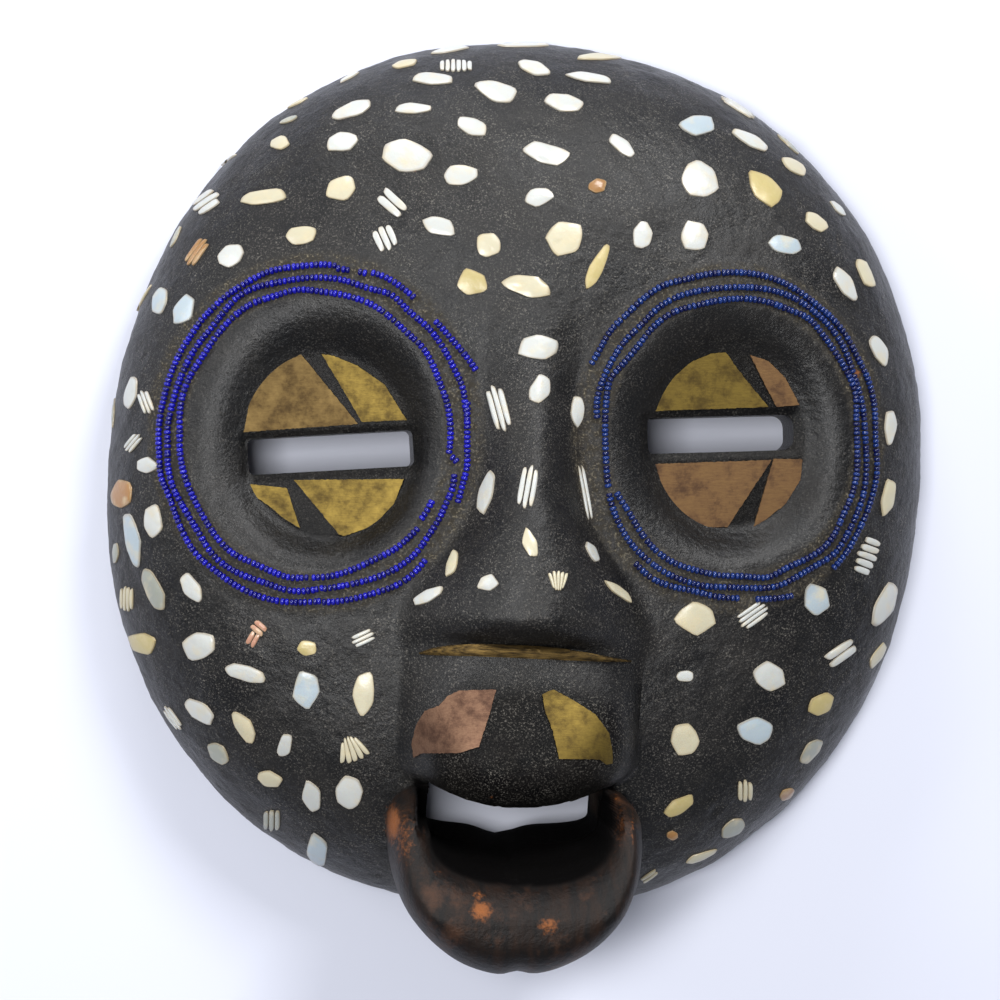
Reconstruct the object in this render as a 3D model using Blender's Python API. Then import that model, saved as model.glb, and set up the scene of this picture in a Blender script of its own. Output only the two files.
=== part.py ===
import math

import bmesh
import bpy
import numpy as np
from mathutils.bvhtree import BVHTree

# Driving sizes, in metres. The face looks up (+Z), its crown is at +Y, and its flat back rim lies at z = 0.
FACE_WIDTH = 0.295
FACE_HEIGHT = 0.314
DOME_DEPTH = 0.066
RIM_EDGE = 0.008
RIM_WIDTH = 0.016
HOLLOW_DEPTH = 0.034
SOCKET_DEPTH = 0.010
NOSE_RISE = 0.028
MUZZLE_RISE = 0.027
JAW_FRONT = 0.106
SLIT_HEIGHT = 0.0125
LEFT_SLIT_LENGTH = 0.057
RIGHT_SLIT_LENGTH = 0.053
SLIT_CORNER = 0.002
PLATE_THICKNESS = 0.0008
CHIP_THICKNESS = 0.0011
BEAD_WIDTH = 0.0021
STRIP_WIDTH = 0.0032
STRIP_THICKNESS = 0.0010
SEAT_GAP = 0.0003
HOLLOW_EDGE = 0.004
THROAT_GROOVE = 0.0035
CUT_PAST = 0.010
ARM_DROP = 0.020
LIP_COVER = 0.006
CHIP_GAP = 0.0005
CHIP_SHIFT = 0.0005
MM = 0.001

HALF_W = FACE_WIDTH / 2
HALF_H = FACE_HEIGHT / 2

# The outline is a superellipse, cut a little askew. The dome over it is flat in the middle and steep at the
# rim.
OUTLINE_POWER = 2.15
OUTLINE_TURN = math.radians(-6.0)
DOME_POWER = 3.8
GRID_ACROSS = 42
GRID_DOWN = 46
HOLLOW_GRID = 16
JAW_SIDES = 36
JAW_BACK_SHARE = 0.45
JAW_SHOULDER = 0.6
JAW_LEAN = 0.45
SEAT_SIDES = 40
PLATE_ARC_STEPS = 7
MOUTH_STEPS = 13
STRIP_STEPS = 9
STRAND_STEP = 0.0075
RING_CHECKS = (0.0, 0.25, 0.5, 0.75, 1.0)
CHIP_SIDES = 9
CHIP_MOVES = 60
CHIP_SWELL = 1.11
SHARP_EDGE = math.radians(35.0)

# Carving, in shares of the face's half width (x) and half height (y)
FOREHEAD = {"x": 0.0, "y": 0.62, "spread": 0.36, "rise": 0.06}
EYES = {
    "left": {"ring": (-0.508, 0.085), "ring_size": (0.311, 0.313), "floor": (-0.475, 0.060),
             "floor_size": (0.193, 0.202), "slope": 0.11, "slit_off": (0.0007, -0.0025), "slit_turn": 4.2},
    "right": {"ring": (0.473, 0.092), "ring_size": (0.307, 0.307), "floor": (0.478, 0.088),
              "floor_size": (0.184, 0.195), "slope": -0.12, "slit_off": (-0.0036, 0.0021), "slit_turn": 2.7},
}
FLOOR_MARGIN = 1.10
MOUTH_MARGIN = 0.95
EVEN_WALL = 0.45
NOSE = {"x": -0.010, "top": 0.42, "tip": -0.28, "base": -0.353, "base_tilt": -0.045, "bridge": 0.120,
        "ridge_growth": 0.025, "wing": 0.165}
MUZZLE = {"x": -0.020, "half_width": 0.283, "top": -0.372, "bottom": -0.722, "arch": 1.15, "lip": 0.085,
          "lip_start": 0.010}
JAW = {"x": -0.034, "y": -0.790, "half_width": 0.292, "reach": 0.287, "arm_top": -0.745, "arm_fade": 0.090,
       "inside_arms": 0.237, "inside_y": -0.770, "inside_fade": 0.027}
MOUTH = {"x": -0.028, "half_width": 0.205, "floor_back": -0.795, "floor_front": -0.864, "side": -0.775}
STRIP = {"x": -0.007, "y": -0.384, "half_length": 0.240, "tilt": -0.008}

# The jaw's rings: share of its height, share of its size
JAW_LEVELS = (
    (0.00, 0.60), (0.16, 0.80), (0.36, 0.94), (0.58, 1.00), (0.80, 0.98), (0.92, 0.94), (0.98, 0.88),
    (1.00, 0.80),
    (1.00, 0.60), (1.00, 0.38), (1.00, 0.16),
)

# Eye plates: metal, arc of the socket floor in degrees, then corners in millimetres from the floor's middle
EYE_PLATES = {
    "left": (
        ("copper", (107, 171), ((10.4, 7.3),)),
        ("brass", (94, 17), ((11.8, 8.0),)),
        ("brass", (252, 206), ((-14.3, -14.8),)),
        ("brass", (283, 338), ((26.0, -11.8), (-11.8, -12.2))),
    ),
    "right": (
        ("brass", (161, 92), ((5.6, 21.6), (13.9, 11.5))),
        ("copper", (73, 26), ((16.7, 11.5), (9.2, 26.0))),
        ("copper", (196, 269), ((15.0, -7.0),)),
        ("copper", (288, 346), ((15.8, -6.6),)),
    ),
}

# Muzzle plates: metal, then corners in shares of the face
MUZZLE_PLATES = {
    "muzzle_plate_left": ("copper", (
        (-0.087, -0.463), (-0.135, -0.465), (-0.180, -0.470), (-0.215, -0.499), (-0.246, -0.520), 
        (-0.262, -0.550),
        (-0.266, -0.585), (-0.262, -0.608), (-0.220, -0.602), (-0.172, -0.597), 
        (-0.127, -0.583), (-0.102, -0.520),
    )),
    "muzzle_plate_right": ("brass", (
        (0.019, -0.473), (0.044, -0.462), (0.088, -0.483), (0.141, -0.514), (0.171, -0.552), (0.180, -0.590),
        (0.180, -0.615), (0.150, -0.607), (0.105, -0.606), (0.056, -0.606), (0.042, -0.552), (0.024, -0.505),
    )),
}

# Unbroken rows of beads: eye, first and last angle in degrees, then how far they lie outside the innermost row,
# in millimetres, at even steps along the row
STRANDS = {
    "left_outer": ("left", 88, 268, (8.7, 8.1, 7.1, 7.3, 8.3, 10.2, 8.8)),
    "left_outer_top": ("left", 55, 74, (9.4, 10.0, 9.2)),
    "left_outer_low": ("left", 284, 312, (9.2, 10.6, 9.9)),
    "left_outer_side": ("left", 23, 45, (12.4, 9.7, 8.7)),
    "left_middle": ("left", -24, 267, (7.7, 6.1, 5.2, 4.2, 5.2, 3.4, 5.1, 6.4, 5.1)),
    "left_middle_low": ("left", 286, 345, (4.3, 5.6, 5.2, 4.4, 3.4)),
    "left_inner": ("left", -7, 260, (0.3, -0.4, -0.6, 0.0, 0.5, 0.6, 0.5, 1.3, 1.1)),
    "left_inner_low": ("left", 269, 318, (0.2, -0.4, -0.2, 0.6)),
    "left_inner_end": ("left", 322, 332, (-0.4, -0.4)),
    "right_outer": ("right", 28, 155, (8.1, 8.6, 9.2, 10.0, 10.4)),
    "right_outer_side": ("right", -50, 16, (11.0, 9.7, 8.2, 8.1)),
    "right_outer_low": ("right", 233, 273, (8.5, 8.4, 7.1, 7.3)),
    "right_middle": ("right", -155, 174, (2.4, 5.0, 4.5, 7.4, 4.1, 3.7, 5.9, 4.1, 4.0, 3.2)),
    "right_inner": ("right", -154, 202, (-0.4, 0.2, -0.3, 1.3, 1.8, 0.0, 1.6, 2.2, 0.5, 0.3, -0.2, 0.4, 1.8)),
}

# The largest shell chips: place in shares of the face, then length and width in millimetres, turn in degrees
CHIPS = (
    (-0.31, 0.70, 18.4, 11.9, -10),
    (-0.09, 0.85, 14.3, 9.4, -16),
    (0.02, 0.71, 15.2, 8.0, -11),
    (0.07, 0.83, 14.3, 7.5, -9),
    (0.39, 0.67, 13.8, 12.8, -39),
    (0.555, 0.655, 14.8, 9.6, -44),
    (0.395, 0.795, 13.0, 8.6, 5),
    (0.065, 0.52, 12.9, 11.9, 2),
    (0.375, 0.535, 11.5, 10.2, 89),
    (-0.025, 0.415, 15.8, 8.1, -14),
    (0.00, 0.28, 13.6, 8.8, 2),
    (-0.635, 0.61, 17.6, 6.0, 6),
    (-0.43, 0.81, 14.7, 6.2, 21),
    (-0.455, 0.735, 10.9, 8.3, 15),
    (0.755, 0.445, 13.8, 6.4, -50),
    (-0.085, 0.145, 17.0, 6.6, -76),
    (-0.025, -0.025, 15.4, 6.1, 80),
    (0.39, -0.31, 13.1, 11.1, 1),
    (0.69, -0.265, 11.0, 9.8, 93),
    (0.88, -0.27, 15.8, 7.8, 58),
    (0.82, -0.165, 13.6, 8.4, 69),
    (0.76, -0.385, 14.2, 6.6, 32),
    (0.575, -0.435, 12.2, 10.4, 0),
    (0.375, -0.575, 11.6, 9.8, 93),
    (0.55, -0.555, 13.4, 9.2, 4),
    (-0.77, -0.39, 12.0, 9.6, 3),
    (-0.66, -0.445, 15.6, 5.4, -13),
    (-0.52, -0.475, 12.6, 9.0, 91),
    (-0.385, -0.48, 14.0, 6.9, 89),
    (-0.41, -0.605, 10.0, 9.0, -69),
    (-0.415, -0.705, 12.2, 9.6, 92),
    (-0.765, -0.535, 12.8, 6.4, -36),
    (-0.93, -0.155, 19.2, 6.4, -79),
    (-0.88, -0.27, 16.1, 7.0, -67),
)


def smooth_step(t):
    """Rises from 0 to 1 with level ends."""
    t = np.clip(t, 0.0, 1.0)
    return t * t * (3.0 - 2.0 * t)


def outline_share(x, y, half_w=HALF_W, half_h=HALF_H):
    """0 at the middle of the face and 1 on its outline."""
    c, s = math.cos(OUTLINE_TURN), math.sin(OUTLINE_TURN)
    u = np.abs((x * c + y * s) / half_w)
    v = np.abs((y * c - x * s) / half_h)
    return (u ** OUTLINE_POWER + v ** OUTLINE_POWER) ** (1.0 / OUTLINE_POWER)


def dome_height(x, y):
    """The plain dome, before any carving."""
    share = np.clip(outline_share(x, y), 0.0, 1.0)
    forehead = np.exp(-((x / HALF_W - FOREHEAD["x"]) ** 2 + (y / HALF_H - FOREHEAD["y"]) ** 2)
                      / FOREHEAD["spread"] ** 2)
    profile = np.sqrt(1.0 - share ** DOME_POWER)
    return RIM_EDGE + (DOME_DEPTH - RIM_EDGE) * profile * (1.0 + FOREHEAD["rise"] * forehead)


def ellipse_share(x, y, centre, size, margin=1.0):
    """0 at an ellipse's centre and 1 on its edge."""
    u = (x - centre[0] * HALF_W) / (size[0] * HALF_W * margin)
    v = (y - centre[1] * HALF_H) / (size[1] * HALF_H * margin)
    return np.sqrt(u * u + v * v)


def floor_height(eye, x):
    """The flat floor of an eye socket, which slopes a little outwards."""
    ring_x, ring_y = eye["ring"][0] * HALF_W, eye["ring"][1] * HALF_H
    level = float(dome_height(np.array(ring_x), np.array(ring_y))) - SOCKET_DEPTH
    return level + eye["slope"] * (x - eye["floor"][0] * HALF_W)


def nose_rise(x, y):
    """A wedge that widens and rises from the brow to the tip, then rounds under to its base."""
    base = (NOSE["base"] + NOSE["base_tilt"] * x / HALF_W) * HALF_H
    top, tip = NOSE["top"] * HALF_H, NOSE["tip"] * HALF_H
    run = np.clip((top - y) / (top - base), 0.0, 1.0)
    half_width = HALF_W * (NOSE["bridge"] + NOSE["ridge_growth"] * run
                           + NOSE["wing"] * smooth_step((run - 0.55) / 0.40))
    across = np.clip(np.abs(x - NOSE["x"] * HALF_W) / half_width, 0.0, 1.0)
    soft = (1.0 - across ** 2) ** 1.6
    full = (1.0 - across ** 2.3) ** 1.4
    blend = smooth_step((run - 0.35) / 0.5)
    ridge = 0.10 + 0.90 * smooth_step(run * 1.02) ** 0.9
    under = np.sqrt(np.clip(1.0 - (np.clip(tip - y, 0.0, None) / (tip - base)) ** 2, 0.0, 1.0))
    fade = smooth_step((top + 0.10 * HALF_H - y) / (0.22 * HALF_H))
    return NOSE_RISE * ridge * (soft + (full - soft) * blend) * under * fade


def muzzle_bottom(x):
    """The lower edge of the upper lip, an arch that drops in the middle."""
    return HALF_H * (MUZZLE["bottom"] + MUZZLE["arch"] * (x / HALF_W - MUZZLE["x"]) ** 2)


def muzzle_rise(x, y):
    """A rounded block below the nose, fullest at its lower edge, with a rounded lip."""
    across = np.clip(np.abs(x / HALF_W - MUZZLE["x"]) / MUZZLE["half_width"], 0.0, 1.0)
    side = (1.0 - across ** 3.4) ** 0.75
    top, bottom = MUZZLE["top"] * HALF_H, muzzle_bottom(x)
    run = np.clip((top - y) / (top - bottom), 0.0, 1.0)
    swell = 0.46 + 0.54 * smooth_step(run * 1.25)
    start = smooth_step((top + 0.075 * HALF_H - y) / (0.05 * HALF_H))
    lip = MUZZLE["lip"] * HALF_H
    edge = np.clip((y - bottom) / lip + MUZZLE["lip_start"] / MUZZLE["lip"], 0.0, 1.0)
    rounding = np.sqrt(1.0 - (1.0 - edge) ** 2)
    ending = smooth_step((y - bottom) / (0.3 * lip) + 1.0)
    return MUZZLE_RISE * side * swell * start * (0.35 + 0.65 * rounding) * ending


def face_height(x, y):
    """The carved front of the mask at a point of the face."""
    height = dome_height(x, y)
    edge = smooth_step((1.0 - outline_share(x, y)) / 0.05)
    for eye in EYES.values():
        to_floor = ellipse_share(x, y, eye["floor"], eye["floor_size"], FLOOR_MARGIN) - 1.0
        to_mouth = 1.0 - ellipse_share(x, y, eye["ring"], eye["ring_size"], MOUTH_MARGIN)
        share = np.clip(to_floor / np.maximum(to_floor + np.maximum(to_mouth, 0.0), 1e-9), 0.0, 1.0)
        wall = EVEN_WALL * share + (1.0 - EVEN_WALL) * np.sin(0.5 * math.pi * share ** 1.1) ** 2
        low = floor_height(eye, x)
        height = np.where(to_mouth > 0.0, low + (height - low) * wall, height)
    return height + np.maximum(nose_rise(x, y), muzzle_rise(x, y)) * edge


def surface_normal(x, y):
    """The outward normal of the carved front, from small steps across it."""
    step = 0.0005
    dx = (face_height(x + step, y) - face_height(x - step, y)) / (2 * step)
    dy = (face_height(x, y + step) - face_height(x, y - step)) / (2 * step)
    normal = np.stack([-dx, -dy, np.ones_like(dx)], axis=-1)
    return normal / np.linalg.norm(normal, axis=-1, keepdims=True)


def disc_grid(across, down, half_w, half_h):
    """A square grid bent to the outline: x and y of each of its points."""
    u, v = np.meshgrid(np.linspace(-1, 1, across + 1), np.linspace(-1, 1, down + 1))
    disc_x = u * np.sqrt(1.0 - v * v / 2.0)
    disc_y = v * np.sqrt(1.0 - u * u / 2.0)
    radius = np.minimum(np.hypot(disc_x, disc_y), 1.0)
    angle = np.arctan2(disc_y, disc_x)
    reach = 1.0 / outline_share(np.cos(angle), np.sin(angle), half_w, half_h)
    return radius * reach * np.cos(angle), radius * reach * np.sin(angle)


def new_object(name, verts, faces, material):
    mesh = bpy.data.meshes.new(name)
    mesh.from_pydata([tuple(float(c) for c in v) for v in verts], [], faces)
    shape = bmesh.new()
    shape.from_mesh(mesh)
    bmesh.ops.triangulate(shape, faces=shape.faces)
    bmesh.ops.recalc_face_normals(shape, faces=shape.faces)
    shape.to_mesh(mesh)
    shape.free()
    mesh.materials.append(material)
    obj = bpy.data.objects.new(name, mesh)
    bpy.context.collection.objects.link(obj)
    return obj


def closed_sheet(name, x, y, z, low, material):
    """A grid of heights closed by straight walls and a flat underside at the height low."""
    rows, columns = x.shape
    top = np.stack([x, y, z], axis=-1).reshape(-1, 3)
    index = np.arange(rows * columns).reshape(rows, columns)
    faces = [
        (int(index[r, c]), int(index[r, c + 1]), int(index[r + 1, c + 1]), int(index[r + 1, c]))
        for r in range(rows - 1) for c in range(columns - 1)
    ]
    border = [*index[0, :], *index[1:, -1], *index[-1, -2::-1], *index[-2:0:-1, 0]]
    below = top[border].copy()
    below[:, 2] = low
    first, count = len(top), len(border)
    for i in range(count):
        j = (i + 1) % count
        faces.append((int(border[j]), int(border[i]), first + i, first + j))
    faces.append(tuple(range(first, first + count)))
    return new_object(name, np.concatenate([top, below]), faces, material)


def ring_stack(name, rings, material):
    """Rings of equal count joined into a closed solid, with flat ends."""
    count = len(rings[0])
    verts = np.concatenate(rings)
    faces = [
        (level * count + i, level * count + (i + 1) % count,
         (level + 1) * count + (i + 1) % count, (level + 1) * count + i)
        for level in range(len(rings) - 1) for i in range(count)
    ]
    faces.append(tuple(range(count)))
    faces.append(tuple(range((len(rings) - 1) * count, len(rings) * count)))
    return new_object(name, verts, faces, material)


def rise_to_clear(surface, points):
    """How far each point has to rise to lie the seat gap above the mask, at least zero."""
    rises = []
    for x, y, z in points:
        hit = surface.ray_cast((x, y, JAW_FRONT + CUT_PAST), (0.0, 0.0, -1.0))[0]
        rises.append(0.0 if hit is None else max(0.0, hit.z + SEAT_GAP - z))
    return np.array(rises)


def lift_rings(surface, rings):
    """Raises each ring of a thin four-sided piece until the stretches beside it clear the mask."""
    edges = 0.5 * (rings + np.roll(rings, 1, axis=1))
    around = np.concatenate([rings, edges], axis=1)
    rise = np.zeros(len(rings))
    for share in RING_CHECKS:
        between = around[1:] * share + around[:-1] * (1.0 - share)
        needed = rise_to_clear(surface, between.reshape(-1, 3)).reshape(-1, around.shape[1]).max(axis=1)
        rise[1:] = np.maximum(rise[1:], needed)
        rise[:-1] = np.maximum(rise[:-1], needed)
    rings[:, :, 2] += rise[:, None]
    return list(rings)


def seated_patch(name, points, thickness, material, surface, rings):
    """A thin piece that follows the carved front under it, from its outline's points round its middle."""
    outline = np.array(points)
    middle = outline.mean(axis=0)
    shares = [k / rings for k in range(1, rings + 1)]
    flat = np.concatenate([[middle]] + [middle + (outline - middle) * s for s in shares])
    x, y = flat[:, 0], flat[:, 1]
    base = np.stack([x, y, face_height(x, y)], axis=-1)
    normal = surface_normal(x, y)
    lower = base + normal * SEAT_GAP
    halfway = 0.5 * (lower[1:] + np.roll(lower[1:], 1, axis=0))
    lower[:, 2] += rise_to_clear(surface, np.concatenate([lower, halfway])).max()
    upper = lower + normal * thickness
    count, layer = len(outline), len(flat)
    faces = []
    for start in (0, layer):
        faces += [(start, start + 1 + i, start + 1 + (i + 1) % count) for i in range(count)]
        for ring in range(rings - 1):
            inner, outer = start + 1 + ring * count, start + 1 + (ring + 1) * count
            faces += [(inner + i, outer + i, outer + (i + 1) % count, inner + (i + 1) % count)
                      for i in range(count)]
    edge = 1 + (rings - 1) * count
    faces += [(edge + i, edge + (i + 1) % count, layer + edge + (i + 1) % count, layer + edge + i)
              for i in range(count)]
    return new_object(name, np.concatenate([lower, upper]), faces, material)


def principled(name, colour, roughness, metallic=0.0):
    material = bpy.data.materials.new(name)
    material.use_nodes = True
    shader = material.node_tree.nodes["Principled BSDF"]
    shader.inputs["Base Color"].default_value = (*colour, 1.0)
    shader.inputs["Roughness"].default_value = roughness
    shader.inputs["Metallic"].default_value = metallic
    return material


def ellipse_arc(size, start, end, count):
    """Points along an ellipse between two angles in degrees."""
    angles = np.radians(np.linspace(start, end, count))
    return [(size[0] * math.cos(a), size[1] * math.sin(a)) for a in angles]


def make_dome(wood):
    x, y = disc_grid(GRID_ACROSS, GRID_DOWN, HALF_W, HALF_H)
    return closed_sheet("mask", x, y, face_height(x, y), 0.0, wood)


def make_jaw(wood):
    """A cup seen from above as a deep U, its front leaning back to the muzzle, its edges rounded."""
    half_width, reach = JAW["half_width"] * HALF_W, JAW["reach"] * HALF_H
    middle_x, middle_y = JAW["x"] * HALF_W, JAW["y"] * HALF_H
    angles = np.linspace(0.0, 2.0 * math.pi, JAW_SIDES, endpoint=False)
    x_side, y_side = np.cos(angles), np.sin(angles)
    at_back = y_side > 0.0
    x_side = np.where(at_back, np.sign(x_side) * np.abs(x_side) ** JAW_SHOULDER, x_side)
    y_side = np.where(at_back, JAW_BACK_SHARE * np.abs(y_side) ** JAW_SHOULDER, y_side)
    rings = []
    for level, size in JAW_LEVELS:
        x = middle_x + half_width * size * x_side
        y = middle_y + reach * size * y_side
        lean = JAW_LEAN * np.clip(y - (middle_y - 0.5 * reach), 0.0, None)
        drop = ARM_DROP * smooth_step((y / HALF_H - JAW["arm_top"]) / JAW["arm_fade"])
        rings.append(np.stack([x, y, under_lip(x, y, level * (JAW_FRONT - lean - drop))], axis=-1))
    return ring_stack("jaw_block", rings, wood)


def under_lip(x, y, z):
    """Keeps the jaw's back, between its two arms, below the upper lip."""
    inside = smooth_step((JAW["inside_arms"] - np.abs(x / HALF_W - JAW["x"])) / JAW["inside_fade"])
    inside *= smooth_step((y / HALF_H - JAW["inside_y"]) / JAW["inside_fade"])
    return z + (np.minimum(z, face_height(x, y) - LIP_COVER) - z) * inside


def make_hollow(wood):
    """The back of the mask, carved out to an even depth inside the rim."""
    half_w, half_h = HALF_W - RIM_WIDTH, HALF_H - RIM_WIDTH
    x, y = disc_grid(HOLLOW_GRID, HOLLOW_GRID, half_w, half_h)
    share = np.clip(outline_share(x, y, half_w, half_h), 0.0, 1.0)
    z = HOLLOW_EDGE + (HOLLOW_DEPTH - HOLLOW_EDGE) * np.sqrt(1.0 - share ** DOME_POWER)
    return closed_sheet("hollow_cutter", x, y, z, -CUT_PAST, wood)


def make_mouth(wood):
    """The way through the mouth: the arch of the upper lip above, the trough of the jaw below."""
    half_width, middle = MOUTH["half_width"] * HALF_W, MOUTH["x"] * HALF_W
    side = MOUTH["side"] * HALF_H
    top_x = middle + half_width * np.linspace(1.0, -1.0, MOUTH_STEPS)
    top_y = muzzle_bottom(top_x)
    turn = np.linspace(math.pi, 2.0 * math.pi, MOUTH_STEPS)
    rings = []
    for z, floor, power in (
        (-CUT_PAST, MOUTH["floor_back"], 3.2),
        (HOLLOW_DEPTH, MOUTH["floor_back"], 3.2),
        (0.5 * (HOLLOW_DEPTH + JAW_FRONT), 0.5 * (MOUTH["floor_back"] + MOUTH["floor_front"]), 2.8),
        (JAW_FRONT + CUT_PAST, MOUTH["floor_front"], 2.4),
    ):
        across, down = np.cos(turn), np.sin(turn)
        x = middle + half_width * np.sign(across) * np.abs(across) ** (2.0 / power)
        groove = THROAT_GROOVE * np.exp(-((x - middle) / (3.0 * THROAT_GROOVE)) ** 2)
        y = side - (side - floor * HALF_H) * np.abs(down) ** (2.0 / power) - groove
        ring_x, ring_y = np.concatenate([top_x, x]), np.concatenate([top_y, y])
        rings.append(np.stack([ring_x, ring_y, np.full_like(ring_x, z)], axis=-1))
    return ring_stack("mouth_cutter", rings, wood)


def eye_middle(eye):
    return eye["floor"][0] * HALF_W, eye["floor"][1] * HALF_H


def make_slit(name, eye, length, wood):
    """A see-through slit with rounded corners, turned a little."""
    middle_x, middle_y = eye_middle(eye)
    off_x, off_y = eye["slit_off"]
    turn = math.radians(eye["slit_turn"])
    corners = []
    for sign_x, sign_y, start in ((1, 1, 0), (-1, 1, 90), (-1, -1, 180), (1, -1, 270)):
        for x, y in ellipse_arc((SLIT_CORNER, SLIT_CORNER), start, start + 90, 3):
            corners.append((sign_x * (length / 2 - SLIT_CORNER) + x,
                            sign_y * (SLIT_HEIGHT / 2 - SLIT_CORNER) + y))
    flat = np.array(corners)
    x = middle_x + off_x + flat[:, 0] * math.cos(turn) - flat[:, 1] * math.sin(turn)
    y = middle_y + off_y + flat[:, 0] * math.sin(turn) + flat[:, 1] * math.cos(turn)
    rings = [np.stack([x, y, np.full_like(x, z)], axis=-1) for z in (-CUT_PAST, DOME_DEPTH + CUT_PAST)]
    return ring_stack(name, rings, wood)


def make_plate_seat(name, eye, wood):
    """The shallow flat recess that the eye plates lie in."""
    middle_x, middle_y = eye_middle(eye)
    size = (eye["floor_size"][0] * HALF_W, eye["floor_size"][1] * HALF_H)
    flat = np.array(ellipse_arc(size, 0, 360, SEAT_SIDES + 1)[:-1])
    x, y = middle_x + flat[:, 0], middle_y + flat[:, 1]
    low = floor_height(eye, x) - PLATE_THICKNESS - SEAT_GAP
    high = np.full_like(x, DOME_DEPTH + CUT_PAST)
    rings = [np.stack([x, y, low], axis=-1), np.stack([x, y, high], axis=-1)]
    return ring_stack(name, rings, wood)


def cut_or_join(target, tool, operation):
    """Adds a Boolean modifier and applies it, then removes the tool."""
    modifier = target.modifiers.new(tool.name, "BOOLEAN")
    modifier.operation = operation
    modifier.solver = "EXACT"
    modifier.object = tool
    graph = bpy.context.evaluated_depsgraph_get()
    mesh = bpy.data.meshes.new_from_object(target.evaluated_get(graph))
    old = target.data
    target.modifiers.clear()
    target.data = mesh
    bpy.data.meshes.remove(old)
    bpy.data.objects.remove(tool)


def make_mask(wood):
    mask = make_dome(wood)
    cut_or_join(mask, make_jaw(wood), "UNION")
    cut_or_join(mask, make_hollow(wood), "DIFFERENCE")
    cut_or_join(mask, make_mouth(wood), "DIFFERENCE")
    for side, length in (("left", LEFT_SLIT_LENGTH), ("right", RIGHT_SLIT_LENGTH)):
        cut_or_join(mask, make_plate_seat(side + "_seat_cutter", EYES[side], wood), "DIFFERENCE")
        cut_or_join(mask, make_slit(side + "_slit_cutter", EYES[side], length, wood), "DIFFERENCE")
    shape = bmesh.new()
    shape.from_mesh(mask.data)
    bmesh.ops.triangulate(shape, faces=shape.faces)
    shape.to_mesh(mask.data)
    shape.free()
    smooth_shading(mask)
    return mask


def smooth_shading(obj):
    obj.data.shade_smooth()
    obj.data.set_sharp_from_angle(angle=SHARP_EDGE)


def make_eye_plate(name, eye, arc, corners, metal):
    """A flat plate: an arc of the socket floor's edge closed by its own corners, from the floor's middle."""
    middle_x, middle_y = eye_middle(eye)
    size = (eye["floor_size"][0] * HALF_W - SEAT_GAP, eye["floor_size"][1] * HALF_H - SEAT_GAP)
    flat = np.array(ellipse_arc(size, *arc, PLATE_ARC_STEPS) + [(MM * x, MM * y) for x, y in corners])
    x, y = middle_x + flat[:, 0], middle_y + flat[:, 1]
    top = floor_height(eye, x)
    rings = [np.stack([x, y, top - PLATE_THICKNESS], axis=-1), np.stack([x, y, top], axis=-1)]
    return ring_stack(name, rings, metal)


def make_nose_strip(brass, surface):
    """A thin strip laid along the ledge under the nose, tapered at both ends."""
    share = np.linspace(-1.0, 1.0, STRIP_STEPS)
    x = (STRIP["x"] + share * STRIP["half_length"]) * HALF_W
    y = (STRIP["y"] + share * STRIP["tilt"]) * HALF_H
    half = 0.5 * STRIP_WIDTH * (0.35 + 0.65 * np.sqrt(1.0 - 0.98 * share * share))
    low = face_height(x, y - half) + SEAT_GAP
    high = low + STRIP_THICKNESS
    corners = ((y - half, low), (y + half, low), (y + half, high), (y - half, high))
    rings = np.stack([np.stack([x, across, z], axis=-1) for across, z in corners], axis=1)
    return ring_stack("nose_strip", lift_rings(surface, rings), brass)


def ring_radius(eye, angle):
    """The radius of the innermost row of beads, an ellipse round the eye, at an angle in radians."""
    a, b = eye["ring_size"][0] * HALF_W, eye["ring_size"][1] * HALF_H
    return a * b / np.hypot(b * np.cos(angle), a * np.sin(angle))


def strand_route(eye, start, end, outward, step):
    """Points along a row of beads: the ring's radius plus smoothly joined amounts outward, in millimetres."""
    middle_x, middle_y = eye["ring"][0] * HALF_W, eye["ring"][1] * HALF_H
    mean_radius = 0.5 * (eye["ring_size"][0] * HALF_W + eye["ring_size"][1] * HALF_H)
    length = math.radians(end - start) * (mean_radius + MM * max(outward))
    count = max(3, int(round(length / step)) + 1)
    angle = np.radians(np.linspace(start, end, count))
    knots = np.linspace(0.0, len(outward) - 1.0, count)
    low = np.clip(knots.astype(int), 0, len(outward) - 2)
    part = smooth_step(knots - low)
    amounts = np.array(outward, dtype=float) * MM
    radius = ring_radius(eye, angle) + amounts[low] * (1.0 - part) + amounts[low + 1] * part
    return middle_x + radius * np.cos(angle), middle_y + radius * np.sin(angle)


def make_strand(name, eye, start, end, outward, glass, surface):
    """One unbroken row of beads as a plain strand that follows the face."""
    x, y = strand_route(eye, start, end, outward, STRAND_STEP)
    normal = surface_normal(x, y)
    middle = np.stack([x, y, face_height(x, y)], axis=-1) + normal * (SEAT_GAP + BEAD_WIDTH / 2)
    along = np.gradient(middle, axis=0)
    along /= np.linalg.norm(along, axis=-1, keepdims=True)
    aside = np.cross(along, normal)
    aside /= np.linalg.norm(aside, axis=-1, keepdims=True)
    out = np.cross(aside, along)
    rings = middle[:, None, :] + BEAD_WIDTH / 2 * np.stack([aside, out, -aside, -out], axis=1)
    strand = ring_stack(name, lift_rings(surface, rings), glass)
    smooth_shading(strand)
    return strand


def chip_outline(x, y, length, width, turn, kind):
    """A rounded, slightly uneven outline, so that no two chips look alike."""
    angles = np.linspace(0.0, 2.0 * math.pi, CHIP_SIDES, endpoint=False)
    uneven = 1.0 + 0.06 * np.sin(2.0 * angles + kind) + 0.05 * np.sin(3.0 * angles + 2.0 * kind)
    flat_x = 0.5 * MM * length * uneven * np.cos(angles)
    flat_y = 0.5 * MM * width * uneven * np.sin(angles)
    c, s = math.cos(math.radians(turn)), math.sin(math.radians(turn))
    return [(x * HALF_W + a * c - b * s, y * HALF_H + a * s + b * c) for a, b in zip(flat_x, flat_y)]


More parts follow.
